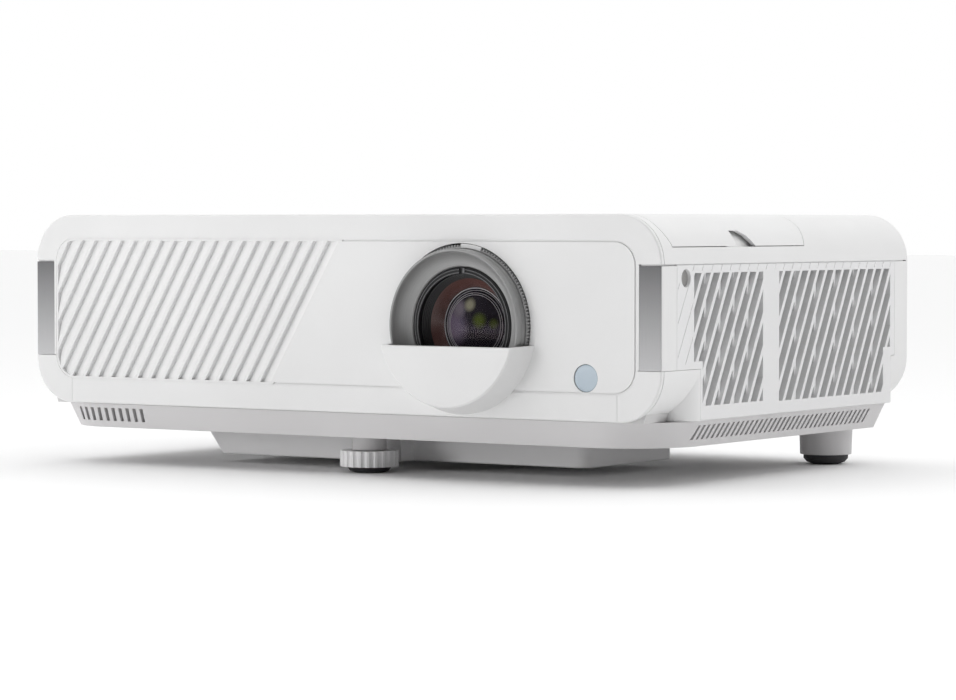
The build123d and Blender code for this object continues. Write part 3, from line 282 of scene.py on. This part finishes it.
def foam(name, colour):
    """Open-cell foam: small pits with thin walls, each pit darker towards its bottom as painted shade."""
    made, tree, shader = start_material(name, Roughness=0.95)
    cells = add_node(tree, "ShaderNodeTexVoronoi", Scale=550.0)
    tree.links.new(object_place(tree), cells.inputs["Vector"])
    depth = cells.outputs["Distance"]
    # Painted shade: the colour darkens towards the bottom of each pit.
    tree.links.new(tone(tree, depth, scaled(colour, 0.3), colour, 0.1, 0.6), shader.inputs["Base Color"])
    bump(tree, shader, depth, 0.6 * MM)
    return made


def circuit_board(name, colour):
    """Solder mask over copper tracks and pads."""
    made, tree, shader = start_material(name, Roughness=0.35, Coat_Weight=0.4)
    tracks = add_node(tree, "ShaderNodeTexBrick", Scale=110.0, Mortar_Size=0.06)
    tracks.inputs["Color1"].default_value = (*colour, 1)
    tracks.inputs["Color2"].default_value = (*scaled(colour, 0.8), 1)
    tracks.inputs["Mortar"].default_value = (*scaled(colour, 1.7), 1)
    tree.links.new(object_place(tree), tracks.inputs["Vector"])
    tree.links.new(tracks.outputs["Color"], shader.inputs["Base Color"])
    bump(tree, shader, tracks.outputs["Fac"], 0.03 * MM)
    return made


WHITE = (0.80, 0.80, 0.80)
# Painted reflection on the trim's front: light at the bottom, dark at the top.
TRIM_PAINTED_LIGHT = (0.56, 0.56, 0.57)
TRIM_PAINTED_SHADE = (0.17, 0.17, 0.175)
EVEN_GRAIN = (1500, 1500, 1500)
FINE = {"grain": 2500.0, "depth": 0.004}

# One material for each slot of the record.
MATERIALS = {
    "shell_white": moulded("shell_white", WHITE, 0.42),
    "panel_white": moulded("panel_white", WHITE, 0.45),
    "grille_grey": moulded("grille_grey", (0.79, 0.79, 0.795), 0.5),
    "trim_silver": trim_with_painted_reflection("trim_silver", "side_trim_right", TRIM_PAINTED_LIGHT, TRIM_PAINTED_SHADE, WHITE),
    "base_grey": moulded("base_grey", (0.64, 0.63, 0.635), 0.55),
    "ring_silver": turned_metal("ring_silver", (0.34, 0.34, 0.34), 0.42, 0.35),
    "zoom_grey": moulded("zoom_grey", (0.42, 0.42, 0.42), 0.4),
    "lens_black": moulded("lens_black", (0.010, 0.010, 0.011), 0.42, 2500.0, 0.01, 0.1),
    "coated_glass": coated_glass("coated_glass", (0.97, 0.99, 0.98), 260.0, 0.01, 0.2),
    "receiver_blue": moulded("receiver_blue", (0.42, 0.50, 0.57), 0.16, 900.0, 0.004, 0.04, Coat_Weight=0.6),
    "foot_rubber": moulded("foot_rubber", (0.045, 0.045, 0.047), 0.75, 1200.0, 0.04, 0.1),
    "insert_brass": brushed_metal("insert_brass", (0.75, 0.57, 0.26), 0.3, EVEN_GRAIN),
    "fastener_steel": brushed_metal("fastener_steel", (0.55, 0.56, 0.58), 0.3, EVEN_GRAIN),
    "deck_grey": moulded("deck_grey", (0.60, 0.605, 0.61), 0.5),
    "key_white": moulded("key_white", (0.84, 0.84, 0.84), 0.4),
    "board_green": circuit_board("board_green", (0.03, 0.16, 0.07)),
    "engine_black": moulded("engine_black", (0.04, 0.04, 0.042), 0.5),
    "sink_aluminium": brushed_metal("sink_aluminium", (0.72, 0.73, 0.75), 0.35, (60, 900, 900)),
    "pipe_copper": brushed_metal("pipe_copper", (0.72, 0.40, 0.26), 0.3, (40, 900, 900)),
    "fan_black": moulded("fan_black", (0.025, 0.025, 0.027), 0.45),
    "filter_dark": foam("filter_dark", (0.03, 0.03, 0.032)),
    "socket_metal": brushed_metal("socket_metal", (0.62, 0.62, 0.62), 0.28, (900, 900, 60)),
    "socket_black": moulded("socket_black", (0.022, 0.022, 0.024), 0.45),
}

# Looks of the details that are added here.
# Painted shade: a dark grey for the floor of each side recess.
RECESS_PAINTED_SHADE = moulded("recess_painted_shade", (0.34, 0.335, 0.33), 0.6)
# Painted shade: a mid grey for the wedges in the crevices under the lower corners.
WEDGE_PAINTED_SHADE = moulded("wedge_painted_shade", (0.62, 0.615, 0.615), 0.5)
# Painted light: a white brighter than the shell, for the liner in the finger notch.
LINER_PAINTED_LIGHT = moulded("liner_painted_light", (0.93, 0.93, 0.93), 0.5)
KEY_MARK = moulded("key_mark", (0.10, 0.105, 0.11), 0.5)
LIP_LINE = moulded("lip_line", (0.15, 0.15, 0.155), 0.35, drift=0.05, **FINE)
EDGE_LINE = moulded("edge_line", (0.50, 0.49, 0.51), 0.3, drift=0.05, **FINE)
CONE_RED = moulded("cone_red", (0.12, 0.055, 0.048), 0.3, drift=0.15, **FINE)
COVER_GLASS = thin_cover("cover_glass", (0.60, 0.50, 0.52), 0.015)
# Painted reflections on the front element: each has its place from the lens axis, its radius and its colour.
GLASS_PAINTED_REFLECTIONS = [
    ((-15.6, -2.5), 5.0, (0.30, 0.28, 0.30)),
    ((-13.0, -1.0), 11.5, (0.125, 0.100, 0.150)),
    ((-9.5, 8.5), 6.0, (0.15, 0.13, 0.16)),
    ((-2.5, 10.5), 4.2, (0.24, 0.23, 0.16)),
    ((4.0, 2.5), 4.8, (0.060, 0.080, 0.012)),
    ((12.0, 1.0), 3.2, (0.045, 0.060, 0.010)),
]
FRONT_GLASS_PAINTED_REFLECTIONS = element_with_painted_reflections("front_glass", (0.010, 0.009, 0.013), GLASS_PAINTED_REFLECTIONS)

for part in frame["record"]["subparts"]:
    skin = NODES[part["node"]].data.materials
    skin.clear()
    skin.append(MATERIALS[part["material_slot"]])

# The parts under the base are coloured lighter than the base itself: painted light for the light that hardly
# reaches them.
UNDER_PAINTED_LIGHT = moulded("under_painted_light", (0.93, 0.925, 0.93), 0.55)
for node in ("underside_cover", "foot_wheel"):
    NODES[node].data.materials[0] = UNDER_PAINTED_LIGHT


# ---------------------------------------------------------------- tools for pieces

SMOOTH_ANGLE = math.radians(32)


def add_piece(name, built, looks, body, replaced=()):
    """Makes a piece of a bmesh, with its faces turned outwards, and lets it ride on a body."""
    bmesh.ops.recalc_face_normals(built, faces=built.faces)
    mesh = bpy.data.meshes.new(name)
    built.to_mesh(mesh)
    built.free()
    for look in looks:
        mesh.materials.append(look)
    mesh.shade_smooth()
    mesh.set_sharp_from_angle(angle=SMOOTH_ANGLE)
    made = bpy.data.objects.new(name, mesh)
    bpy.context.scene.collection.objects.link(made)
    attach(made, body)
    if replaced:
        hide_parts(*replaced)


def join_rings(built, one, other):
    """Faces all the way round between two rings of vertices."""
    for step in range(len(one)):
        after = (step + 1) % len(one)
        built.faces.new((one[step], one[after], other[after], other[step]))


def stacked(rows):
    """A solid through rows of points, closed at both ends; each row goes round the solid."""
    built = bmesh.new()
    rings = [[built.verts.new(place) for place in row] for row in rows]
    for one, other in zip(rings, rings[1:]):
        join_rings(built, one, other)
    built.faces.new(list(reversed(rings[0])))
    built.faces.new(rings[-1])
    return built


def rounded_box(low, high, edge):
    """A box between two corners, in metres, with its edges rounded by two cuts."""
    built = bmesh.new()
    bmesh.ops.create_cube(built, size=1.0)
    for vert in built.verts:
        for axis in range(3):
            vert.co[axis] = low[axis] if vert.co[axis] < 0 else high[axis]
    bmesh.ops.bevel(built, geom=built.edges[:], offset=edge, segments=2, profile=0.5, affect="EDGES")
    return built


def across(side, inner, outer, widest=SHELL_HIGH.x):
    """The lower and the higher x between two distances, in mm, in from the widest x of a side."""
    return sorted((side * (widest - inner * MM), side * (widest - outer * MM)))


def dished(centre, side, outline, steps=48):
    """A solid turned about an axis along X: its outline is radii and heights towards a side."""
    rows = []
    frame_z = Vector((side, 0, 0))
    frame_x = frame_z.orthogonal().normalized()
    frame_y = frame_z.cross(frame_x)
    for radius, height in outline:
        row = []
        for step in range(steps):
            angle = 2 * math.pi * step / steps
            outward = frame_x * math.cos(angle) + frame_y * math.sin(angle)
            row.append(centre + outward * radius * MM + frame_z * height * MM)
        rows.append(row)
    return stacked(rows)


def arc(radius, start, end, steps):
    """Points on part of a circle, in mm; angles in degrees."""
    points = []
    for step in range(steps + 1):
        angle = math.radians(start + (end - start) * step / steps)
        points.append((radius * math.cos(angle), radius * math.sin(angle)))
    return points


def prism(outline, start, end):
    """A solid between two depths, from an outline of x and z."""
    return stacked([[(x * MM, FRONT_Y + depth * MM, z * MM) for x, z in outline] for depth in (start, end)])


def raised_mark(outline, centre, turn):
    """A thin mark: an outline round a centre, turned by an angle in degrees."""
    spin = Matrix.Rotation(math.radians(turn), 2)
    rows = []
    for height in (-0.1, 0.14):
        places = [spin @ Vector(place) * MM for place in outline]
        rows.append([centre + Vector((place.x, place.y, height * MM)) for place in places])
    return stacked(rows)


# ---------------------------------------------------------------- seams and small parts

# A strip lies in each seam between the top cover and a side panel.
COVER_LOW, COVER_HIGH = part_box("top_cover")
STRIP_FROM = 0.7
STRIP_TO = 1.3
STRIP_DOWN = 1.4 * MM
STRIP_UP = 1.0 * MM
STRIP_END = COVER_HIGH.y - 2.5 * MM
for side, word in SIDES:
    grille_low, grille_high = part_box(f"side_grille_{word}")
    widest = max(abs(grille_low.x), abs(grille_high.x))
    x_low, x_high = across(side, STRIP_TO, STRIP_FROM, widest)
    low = (x_low, grille_low.y, COVER_LOW.z - STRIP_DOWN)
    strip = rounded_box(low, (x_high, STRIP_END, COVER_LOW.z + STRIP_UP), 0.1 * MM)
    add_piece(f"seam_strip_{word}", strip, [MATERIALS["grille_grey"]], "shell")

# The round recess at the front of each side panel has a shallow dished floor, coloured dark grey as painted
# shade.
RECESS_IN = 2.2 * MM
RECESS_BACK = 24.0 * MM
RECESS_DOWN = 32.1 * MM
DISH = [(4.55, -0.6), (4.55, 0.5), (4.1, 0.35), (3.2, 0.05), (2.0, -0.15), (0.4, -0.2)]
for side, word in SIDES:
    centre = Vector((side * (SHELL_HIGH.x - RECESS_IN), FRONT_Y + RECESS_BACK, SHELL_HIGH.z - RECESS_DOWN))
    add_piece(f"recess_floor_{word}", dished(centre, side, DISH), [RECESS_PAINTED_SHADE], "shell")

# A light loop lies in the seam round the front panel, open where the lens lip covers the seam.
WINDOW_HALF = 188.3
WINDOW_LOW = 47.1
WINDOW_HIGH = 124.7
WINDOW_R = 13.0
LOOP_HALF = 0.7
LOOP_FRONT = 0.35
LOOP_BACK = 0.8
LIP_HALF = 30.0
CORNER_STEPS = 12


def window_path():
    """Places and outward directions on the window's outline, from one side of the lip to the other."""
    path = [((LENS.x / MM + LIP_HALF, WINDOW_LOW), (0.0, -1.0))]
    x_mid, low, high = WINDOW_HALF - WINDOW_R, WINDOW_LOW + WINDOW_R, WINDOW_HIGH - WINDOW_R
    for x, z, start in ((x_mid, low, -90), (x_mid, high, 0), (-x_mid, high, 90), (-x_mid, low, 180)):
        for out_x, out_z in arc(1.0, start, start + 90, CORNER_STEPS):
            path.append(((x + WINDOW_R * out_x, z + WINDOW_R * out_z), (out_x, out_z)))
    path.append(((LENS.x / MM - LIP_HALF, WINDOW_LOW), (0.0, -1.0)))
    return path


loop_rows = []
for (x, z), (out_x, out_z) in window_path():
    row = []
    for reach, depth in (
        (-LOOP_HALF, LOOP_FRONT), (LOOP_HALF, LOOP_FRONT), (LOOP_HALF, LOOP_BACK), (-LOOP_HALF, LOOP_BACK),
    ):
        row.append(((x + out_x * reach) * MM, FRONT_Y + depth * MM, (z + out_z * reach) * MM))
    loop_rows.append(row)
add_piece("panel_seam_loop", stacked(loop_rows), [MATERIALS["shell_white"]], "shell")

# A cap closes the slit between each silver trim and the notch above it.
CAP_FROM = 0.9
CAP_TO = 12.6
CAP_FRONT = 0.8 * MM
CAP_BACK = 15.0 * MM
CAP_HIGH = 1.1 * MM
for side, word in SIDES:
    trim_low, trim_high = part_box(f"side_trim_{word}")
    x_low, x_high = across(side, CAP_TO, CAP_FROM)
    low = (x_low, trim_low.y + CAP_FRONT, trim_high.z + 0.03 * MM)
    cap = rounded_box(low, (x_high, trim_low.y + CAP_BACK, trim_high.z + CAP_HIGH), 0.2 * MM)
    add_piece(f"trim_cap_{word}", cap, [MATERIALS["grille_grey"]], "shell")

# A wall closes each rear corner, between the rounded cap, the side panel and the base.
WALL_FROM = 5.6
WALL_TO = 36.5
WALL_THICK = 1.2 * MM
WALL_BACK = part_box("rear_cap")[0].y - 0.1 * MM
WALL_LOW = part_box("base_tray")[1].z + 0.1 * MM
WALL_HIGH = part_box("base_tray")[1].z + 31.6 * MM
for side, word in SIDES:
    x_low, x_high = across(side, WALL_TO, WALL_FROM)
    wall = rounded_box((x_low, WALL_BACK - WALL_THICK, WALL_LOW), (x_high, WALL_BACK, WALL_HIGH), 0.3 * MM)
    add_piece(f"rear_corner_wall_{word}", wall, [MATERIALS["shell_white"]], "shell")

# Sills round the deck close the gaps to the edge of the door opening, below the hinge and the door's edge.
DECK_LOW, DECK_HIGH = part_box("control_deck")
TOUCH = 0.05 * MM
SILL_THICK = 1.4 * MM
SILL_HIGH = COVER_HIGH.z - 10.1 * MM
SILL_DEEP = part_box("access_door")[0].z - 0.6 * MM
SILL_RIGHT = DECK_HIGH.x - 4.4 * MM
SIDE_SPAN = (DECK_LOW.x - 10.5 * MM, DECK_LOW.x - TOUCH)
WIDE_SPAN = (DECK_LOW.x - TOUCH, SILL_RIGHT)
DEEP_SPAN = (SILL_RIGHT - 8 * MM, DECK_HIGH.x + 1.8 * MM)
REAR_SPAN = (DECK_HIGH.y + TOUCH, DECK_HIGH.y + 13 * MM)
FRONT_SPAN = (DECK_LOW.y - 5 * MM, DECK_LOW.y - TOUCH)
SILL_PARTS = [
    ("side", SIDE_SPAN, (FRONT_SPAN[0], REAR_SPAN[1]), SILL_HIGH),
    ("rear", WIDE_SPAN, REAR_SPAN, SILL_HIGH),
    ("front", WIDE_SPAN, FRONT_SPAN, SILL_HIGH),
    ("rear_deep", DEEP_SPAN, REAR_SPAN, SILL_DEEP),
    ("front_deep", DEEP_SPAN, FRONT_SPAN, SILL_DEEP),
]
for word, (x_low, x_high), (y_low, y_high), top in SILL_PARTS:
    sill = rounded_box((x_low, y_low, top - SILL_THICK), (x_high, y_high, top), 0.3 * MM)
    add_piece(f"deck_sill_{word}", sill, [MATERIALS["deck_grey"]], "shell")

# The centre lines and the radius of the shell's rounded corners.
CORNER_X = 177.5
CORNER_LOW = 58.6
CORNER_HIGH = 112.5
CORNER_R = 25.0

# A wedge fills the narrow crevice between each lower corner and the base; its grey is painted shade in the
# crevice.
WEDGE_LOW = 33.45
WEDGE_DEPTHS = (3.6, 34.0)
under_corner = [(CORNER_X + x, CORNER_LOW + z) for x, z in arc(CORNER_R - 0.1, -90, -55, 10)]
wedge = under_corner + [(under_corner[-1][0] - 1.5, WEDGE_LOW), (CORNER_X, WEDGE_LOW)]
for side, word in SIDES:
    solid = prism([(side * x, z) for x, z in wedge], *WEDGE_DEPTHS)
    add_piece(f"corner_wedge_{word}", solid, [WEDGE_PAINTED_SHADE], "shell")

# A liner lies on the wall of the finger notch under the door, whiter than the shell as painted light in the
# notch.
LINER_DEPTHS = (74.2, 100.8)
liner_arcs = arc(21.1, 14, 53, 14) + arc(20.55, 53, 14, 14)
liner = prism([(CORNER_X + x, CORNER_HIGH + z) for x, z in liner_arcs], *LINER_DEPTHS)
add_piece("notch_liner", liner, [LINER_PAINTED_LIGHT], "shell")

# Raised marks on the keys: an arrow on each key of the pad, a dot in its middle and a power sign.
ARROW = [(1.7, 0.0), (-0.9, 1.45), (-0.9, -1.45)]
DOT = arc(1.2, 0, 345, 23)
POWER_RING = arc(1.9, 125, 415, 40) + arc(1.35, 415, 125, 40)
POWER_BAR = [(-0.28, 0.5), (0.28, 0.5), (0.28, 2.5), (-0.28, 2.5)]
KEY_MARKS = [
    ("up_mark", "up_key", ARROW, 90.0),
    ("down_mark", "down_key", ARROW, -90.0),
    ("left_mark", "left_key", ARROW, 180.0),
    ("right_mark", "right_key", ARROW, 0.0),
    ("enter_mark", "enter_key", DOT, 0.0),
    ("power_mark_ring", "power_key", POWER_RING, 0.0),
    ("power_mark_bar", "power_key", POWER_BAR, 0.0),
]
for name, key, outline, turn in KEY_MARKS:
    centre = middle(key)
    centre.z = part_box(key)[1].z
    add_piece(name, raised_mark(outline, centre, turn), [KEY_MARK], key)


# ---------------------------------------------------------------- lens

FOCUS_R = radius_of("focus_ring")
FOCUS_TOP, FOCUS_BACK = depths_of("focus_ring")
ZOOM_R = radius_of("zoom_ring")
ZOOM_TOP, ZOOM_BACK = depths_of("zoom_ring")
CELL_R = radius_of("front_lens_cell")
CELL_TOP, CELL_BACK = depths_of("front_lens_cell")
GLASS_R = radius_of("front_lens")
GLASS_TOP = depths_of("front_lens")[0]
BARREL_TOP = depths_of("lens_barrel")[0]


def on_lens(radius, angle, depth):
    """A point round the lens axis: radius in mm, angle from +X up, and depth."""
    x = LENS.x + radius * MM * math.cos(angle)
    return Vector((x, FRONT_Y + depth * MM, LENS.z + radius * MM * math.sin(angle)))


def turned(profile, steps=192, tooth=None, stretch=(0.0, 360.0)):
    """A solid turned about the lens axis from a closed outline of radii and depths.

    A third value in a point is the look of the band that starts there. tooth is a function of
    the step that lowers the outermost radius. stretch is the part of the turn, in degrees.
    """
    built = bmesh.new()
    start, end = (math.radians(edge) for edge in stretch)
    whole = stretch[1] - stretch[0] >= 360
    outermost = max(point[0] for point in profile)
    rings = []
    for step in range(steps if whole else steps + 1):
        angle = start + (end - start) * step / steps
        ring = []
        for point in profile:
            cut = tooth(step) if tooth and point[0] > outermost - 0.7 else 0.0
            ring.append(built.verts.new(on_lens(point[0] - cut, angle, point[1])))
        rings.append(ring)
    count = len(profile)
    for step in range(steps):
        here, there = rings[step], rings[(step + 1) % len(rings)]
        for index in range(count):
            after = (index + 1) % count
            face = built.faces.new((here[index], here[after], there[after], there[index]))
            face.material_index = profile[index][2] if len(profile[index]) > 2 else 0
    if not whole:
        built.faces.new(rings[0])
        built.faces.new(reversed(rings[-1]))
    return built


def dome(radius, rim_depth, bulge, back_bulge, thick, steps=96, bands=20):
    """A glass element: two spherical faces joined by its ground edge."""
    built = bmesh.new()
    edges = []
    for rim_at, rise in ((rim_depth, -bulge), (rim_depth + thick, back_bulge)):
        rings = []
        for band in range(bands, 0, -1):
            share = math.sin(math.pi / 2 * band / bands)
            depth = rim_at + rise * (1 - share * share)
            places = [on_lens(radius * share, 2 * math.pi * step / steps, depth) for step in range(steps)]
            rings.append([built.verts.new(place) for place in places])
        pole = built.verts.new(on_lens(0, 0, rim_at + rise))
        for outer, inner in zip(rings, rings[1:]):
            join_rings(built, outer, inner)
        for step in range(steps):
            built.faces.new((rings[-1][step], rings[-1][(step + 1) % steps], pole))
        edges.append(rings[0])
    join_rings(built, *edges)
    return built


def between(first, second, share):
    """A value part of the way from one to another."""
    return first + (second - first) * share


# Focus ring: a bright rim, a hollow funnel down to the barrel, fine grooves and the hub behind them.
BARREL_EDGE = 30.3
HUB_R = 34.0
HUB_TOP = -0.2
FUNNEL_TOP = (FOCUS_R - 1.5, FOCUS_TOP + 0.55)
FUNNEL_LOW = (BARREL_EDGE + 0.5, 0.2)
FUNNEL_STEPS = 10
HOLLOW = 0.7
funnel = []
for step in range(FUNNEL_STEPS + 1):
    share = step / FUNNEL_STEPS
    turn = share * math.pi / 2
    round_r = between(FUNNEL_LOW[0], FUNNEL_TOP[0], math.cos(turn))
    round_depth = between(FUNNEL_TOP[1], FUNNEL_LOW[1], math.sin(turn))
    line_r = between(FUNNEL_TOP[0], FUNNEL_LOW[0], share)
    line_depth = between(FUNNEL_TOP[1], FUNNEL_LOW[1], share)
    funnel.append((between(line_r, round_r, HOLLOW), between(line_depth, round_depth, HOLLOW)))
rim = [(FOCUS_R, FOCUS_TOP + 0.5), (FOCUS_R - 0.15, FOCUS_TOP + 0.15), (FOCUS_R - 0.5, FOCUS_TOP)]
rim += [(FOCUS_R - 0.9, FOCUS_TOP), (FOCUS_R - 1.25, FOCUS_TOP + 0.15)]
hub = [(BARREL_EDGE, 0.8), (BARREL_EDGE, FOCUS_BACK), (HUB_R, FOCUS_BACK)]
hub += [(HUB_R, HUB_TOP), (FOCUS_R, HUB_TOP)]
grooves = []
for line in range(3):
    depth = -1.4 - 0.9 * line
    grooves += [(FOCUS_R, depth + 0.25), (FOCUS_R - 0.2, depth), (FOCUS_R, depth - 0.25)]
focus_body = turned(hub + grooves + rim + funnel)
focus_looks = [MATERIALS["ring_silver"]]
add_piece("focus_ring_body", focus_body, focus_looks, "focus_ring", ["focus_ring"])

# Zoom ring: fine straight teeth round its edge.
TEETH = 144
TOOTH_STEPS = 4
TOOTH_HEIGHT = 1.1
ZOOM_FRONT = ZOOM_TOP - 0.9
ZOOM_EDGE = FOCUS_R + 0.3
ZOOM_HUB = 34.5


def zoom_tooth(step):
    """How far the edge lies below the tips of the teeth, in mm."""
    return TOOTH_HEIGHT if step % TOOTH_STEPS >= TOOTH_STEPS / 2 else 0.0


zoom_outline = [(ZOOM_HUB, ZOOM_TOP), (ZOOM_EDGE, ZOOM_TOP), (ZOOM_EDGE, ZOOM_FRONT)]
zoom_outline += [(ZOOM_R - 0.6, ZOOM_FRONT), (ZOOM_R, ZOOM_FRONT + 0.4), (ZOOM_R, ZOOM_BACK)]
zoom_outline += [(BARREL_EDGE, ZOOM_BACK), (BARREL_EDGE, FOCUS_BACK + 0.5), (ZOOM_HUB, FOCUS_BACK + 0.5)]
zoom_body = turned(zoom_outline, TEETH * TOOTH_STEPS, zoom_tooth)
add_piece("zoom_ring_body", zoom_body, [MATERIALS["zoom_grey"]], "zoom_ring", ["zoom_ring"])

# Barrel lip: turned steps round the opening, cut through near the top by a slot with a small key.
# Its points are radii and heights in front of the barrel.
SLOT_ANGLE = 90.5
SLOT_HALF = 2.2
LIP_STEPS = [
    (26.6, 0), (26.6, 0.75), (27.0, 0.9, 1), (27.35, 0.9), (27.6, 0.55), (28.5, 0.55),
    (28.6, 0.8, 1), (28.95, 0.8), (29.1, 0.4), (29.8, 0.3), (29.8, 0),
]
lip_outline = [(radius, BARREL_TOP - height, *look) for radius, height, *look in LIP_STEPS]
lip_turn = (SLOT_ANGLE + SLOT_HALF, SLOT_ANGLE + 360 - SLOT_HALF - 0.001)
lip_looks = [MATERIALS["lens_black"], LIP_LINE]
add_piece("barrel_lip", turned(lip_outline, 184, stretch=lip_turn), lip_looks, "shell")
KEY_STEPS = [(27.1, 0), (27.1, 1.1), (29.4, 1.1), (29.4, 0)]
key_outline = [(radius, BARREL_TOP - height) for radius, height in KEY_STEPS]
key_turn = (SLOT_ANGLE - SLOT_HALF - 2.6, SLOT_ANGLE - SLOT_HALF - 0.2)
add_piece("barrel_key", turned(key_outline, 6, stretch=key_turn), [LIP_LINE], "shell")

# Front cell: black baffles, a red-brown cone, and the seat of the glass.
BAFFLES = 5
BAFFLE_STEP = 0.9
CONE_DEPTH = CELL_TOP + 4.6
SEAT_DEPTH = GLASS_TOP + 3.2
SEAT_R = GLASS_R + 0.06
GLASS_RIM = GLASS_TOP + 4.2
SEAT_BACK = GLASS_RIM + 5.4
CELL_BORE = 16.0
cell_outline = [(CELL_R, CELL_TOP + 0.2), (CELL_R - 0.3, CELL_TOP)]
for step in range(BAFFLES):
    edge = CELL_R - 0.9 - 0.4 * step
    depth = CELL_TOP + BAFFLE_STEP * step
    cell_outline += [(edge, depth + 0.2), (edge, depth + 0.9)]
cell_outline += [(24.2, CONE_DEPTH, 1), (GLASS_R + 1.0, SEAT_DEPTH), (SEAT_R, SEAT_DEPTH)]
cell_outline += [(SEAT_R, SEAT_BACK), (CELL_BORE, SEAT_BACK), (CELL_BORE, CELL_BACK), (CELL_R, CELL_BACK)]
cell_looks = [MATERIALS["lens_black"], CONE_RED]
add_piece("lens_cell_body", turned(cell_outline), cell_looks, "lens_cell", ["front_lens_cell"])

# The holding ring, and the edges of the cemented elements, which show as fine rings in the glass.
GLASS_BULGE = 4.2
GLASS_RINGS = [(GLASS_R + 0.15, GLASS_TOP + 3.3, 0.45)]
for radius in (GLASS_R - 0.9, GLASS_R - 2.2, GLASS_R - 3.2):
    sphere_depth = GLASS_RIM - GLASS_BULGE * (1 - (radius / GLASS_R) ** 2)
    GLASS_RINGS.append((radius, sphere_depth - 0.05, 0.2))
for index, (radius, depth, width) in enumerate(GLASS_RINGS, 1):
    outer = radius + width + 0.1
    ring_outline = [(radius, depth), (radius + 0.1, depth - 0.25), (radius + width, depth - 0.25)]
    ring_outline += [(outer, depth), (outer, depth + 0.6), (radius, depth + 0.6)]
    add_piece(f"glass_ring_{index}", turned(ring_outline, 128), [EDGE_LINE], "lens_cell")

# Glass: the coated front element in its seat, and a wide cover in front of the cone.
# The front element's colour carries painted reflections.
front_glass = dome(GLASS_R, GLASS_RIM, GLASS_BULGE, 0.4, 5.0)
add_piece("front_glass", front_glass, [FRONT_GLASS_PAINTED_REFLECTIONS], "lens_cell", ["front_lens"])
cover_glass = dome(23.4, CONE_DEPTH, 3.0, -1.6, 1.8)
add_piece("cover_glass", cover_glass, [COVER_GLASS], "lens_cell")


# ---------------------------------------------------------------- stage

def add_object(name, data):
    """An object of its data in the scene."""
    made = bpy.data.objects.new(name, data)
    bpy.context.scene.collection.objects.link(made)
    return made


FLOOR_REACH = 12.0
FLOOR_CORNERS = [(FLOOR_REACH * x, FLOOR_REACH * y, 0) for x, y in ((-1, -1), (1, -1), (1, 1), (-1, 1))]
floor_mesh = bpy.data.meshes.new("floor")
floor_mesh.from_pydata(FLOOR_CORNERS, [], [(0, 1, 2, 3)])
floor_look, _, _ = start_material("floor", Base_Color=(0.93, 0.93, 0.93), Roughness=0.9)
floor_mesh.materials.append(floor_look)
floor = add_object("floor", floor_mesh)

# The room is white, and dimmer on the side that the camera stands on.
DIM_SIDE = (0.56, -0.83, 0.0)
ROOM_DIM = 0.03
ROOM_BRIGHT = 1.0
world = bpy.data.worlds.new("studio")
world.use_nodes = True
bpy.context.scene.world = world
room = world.node_tree
sky = room.nodes["Background"]
sky.inputs["Color"].default_value = (1, 1, 1, 1)
aim = add_node(room, "ShaderNodeTexCoord")
toward = add_node(room, "ShaderNodeVectorMath", operation="DOT_PRODUCT")
toward.inputs[1].default_value = DIM_SIDE
room.links.new(aim.outputs["Generated"], toward.inputs[0])
strength = spread(room, toward.outputs["Value"], ROOM_BRIGHT, ROOM_DIM, -0.15, 0.65)
room.links.new(strength, sky.inputs["Strength"])

# Softboxes: square area lights that face a target and don't show in gloss or glass.
# Each has its place, its target, its size and its power in watts.
SOFTBOXES = {
    "key_light": ((-0.8, -1.1, 0.7), (0, 0, 0.08), 0.7, 2.6),
    "side_light": ((1.4, 0.5, 0.45), (0.2, 0, 0.08), 0.7, 2.1),
    "high_light": ((1.0, -0.9, 1.3), (0.1, 0, 0.08), 0.5, 1.8),
    "front_light": ((-0.7, -1.4, 0.10), (0, 0, 0.05), 0.5, 6.8),
}
for name, (place, target, size, power) in SOFTBOXES.items():
    lamp_data = bpy.data.lights.new(name, "AREA")
    lamp_data.size = size
    lamp_data.energy = power
    lamp = add_object(name, lamp_data)
    lamp.location = place
    lamp.rotation_euler = (Vector(target) - Vector(place)).to_track_quat("-Z", "Y").to_euler()
    lamp.visible_glossy = False
    lamp.visible_transmission = False

# The wide light of the ceiling keeps the floor white to the horizon.
CEILING_STRENGTH = 1.1
CEILING_SPREAD = 100
CEILING_TILT = (-8, 8, 0)
ceiling_data = bpy.data.lights.new("ceiling", "SUN")
ceiling_data.energy = CEILING_STRENGTH
ceiling_data.angle = math.radians(CEILING_SPREAD)
add_object("ceiling", ceiling_data).rotation_euler = [math.radians(angle) for angle in CEILING_TILT]

CAMERA_PLACE = (1.0465, -1.5493, 0.1316)
CAMERA_DOWN = 2.12
CAMERA_TURN = 33.81
camera_data = bpy.data.cameras.new("camera")
camera_data.lens = 126.56
camera_data.sensor_width = 36.0
camera_data.sensor_fit = "HORIZONTAL"
camera = add_object("camera", camera_data)
camera.location = CAMERA_PLACE
camera.rotation_euler = (math.radians(90 - CAMERA_DOWN), 0, math.radians(CAMERA_TURN))
bpy.context.scene.camera = camera
bpy.context.scene.view_settings.view_transform = "Standard"
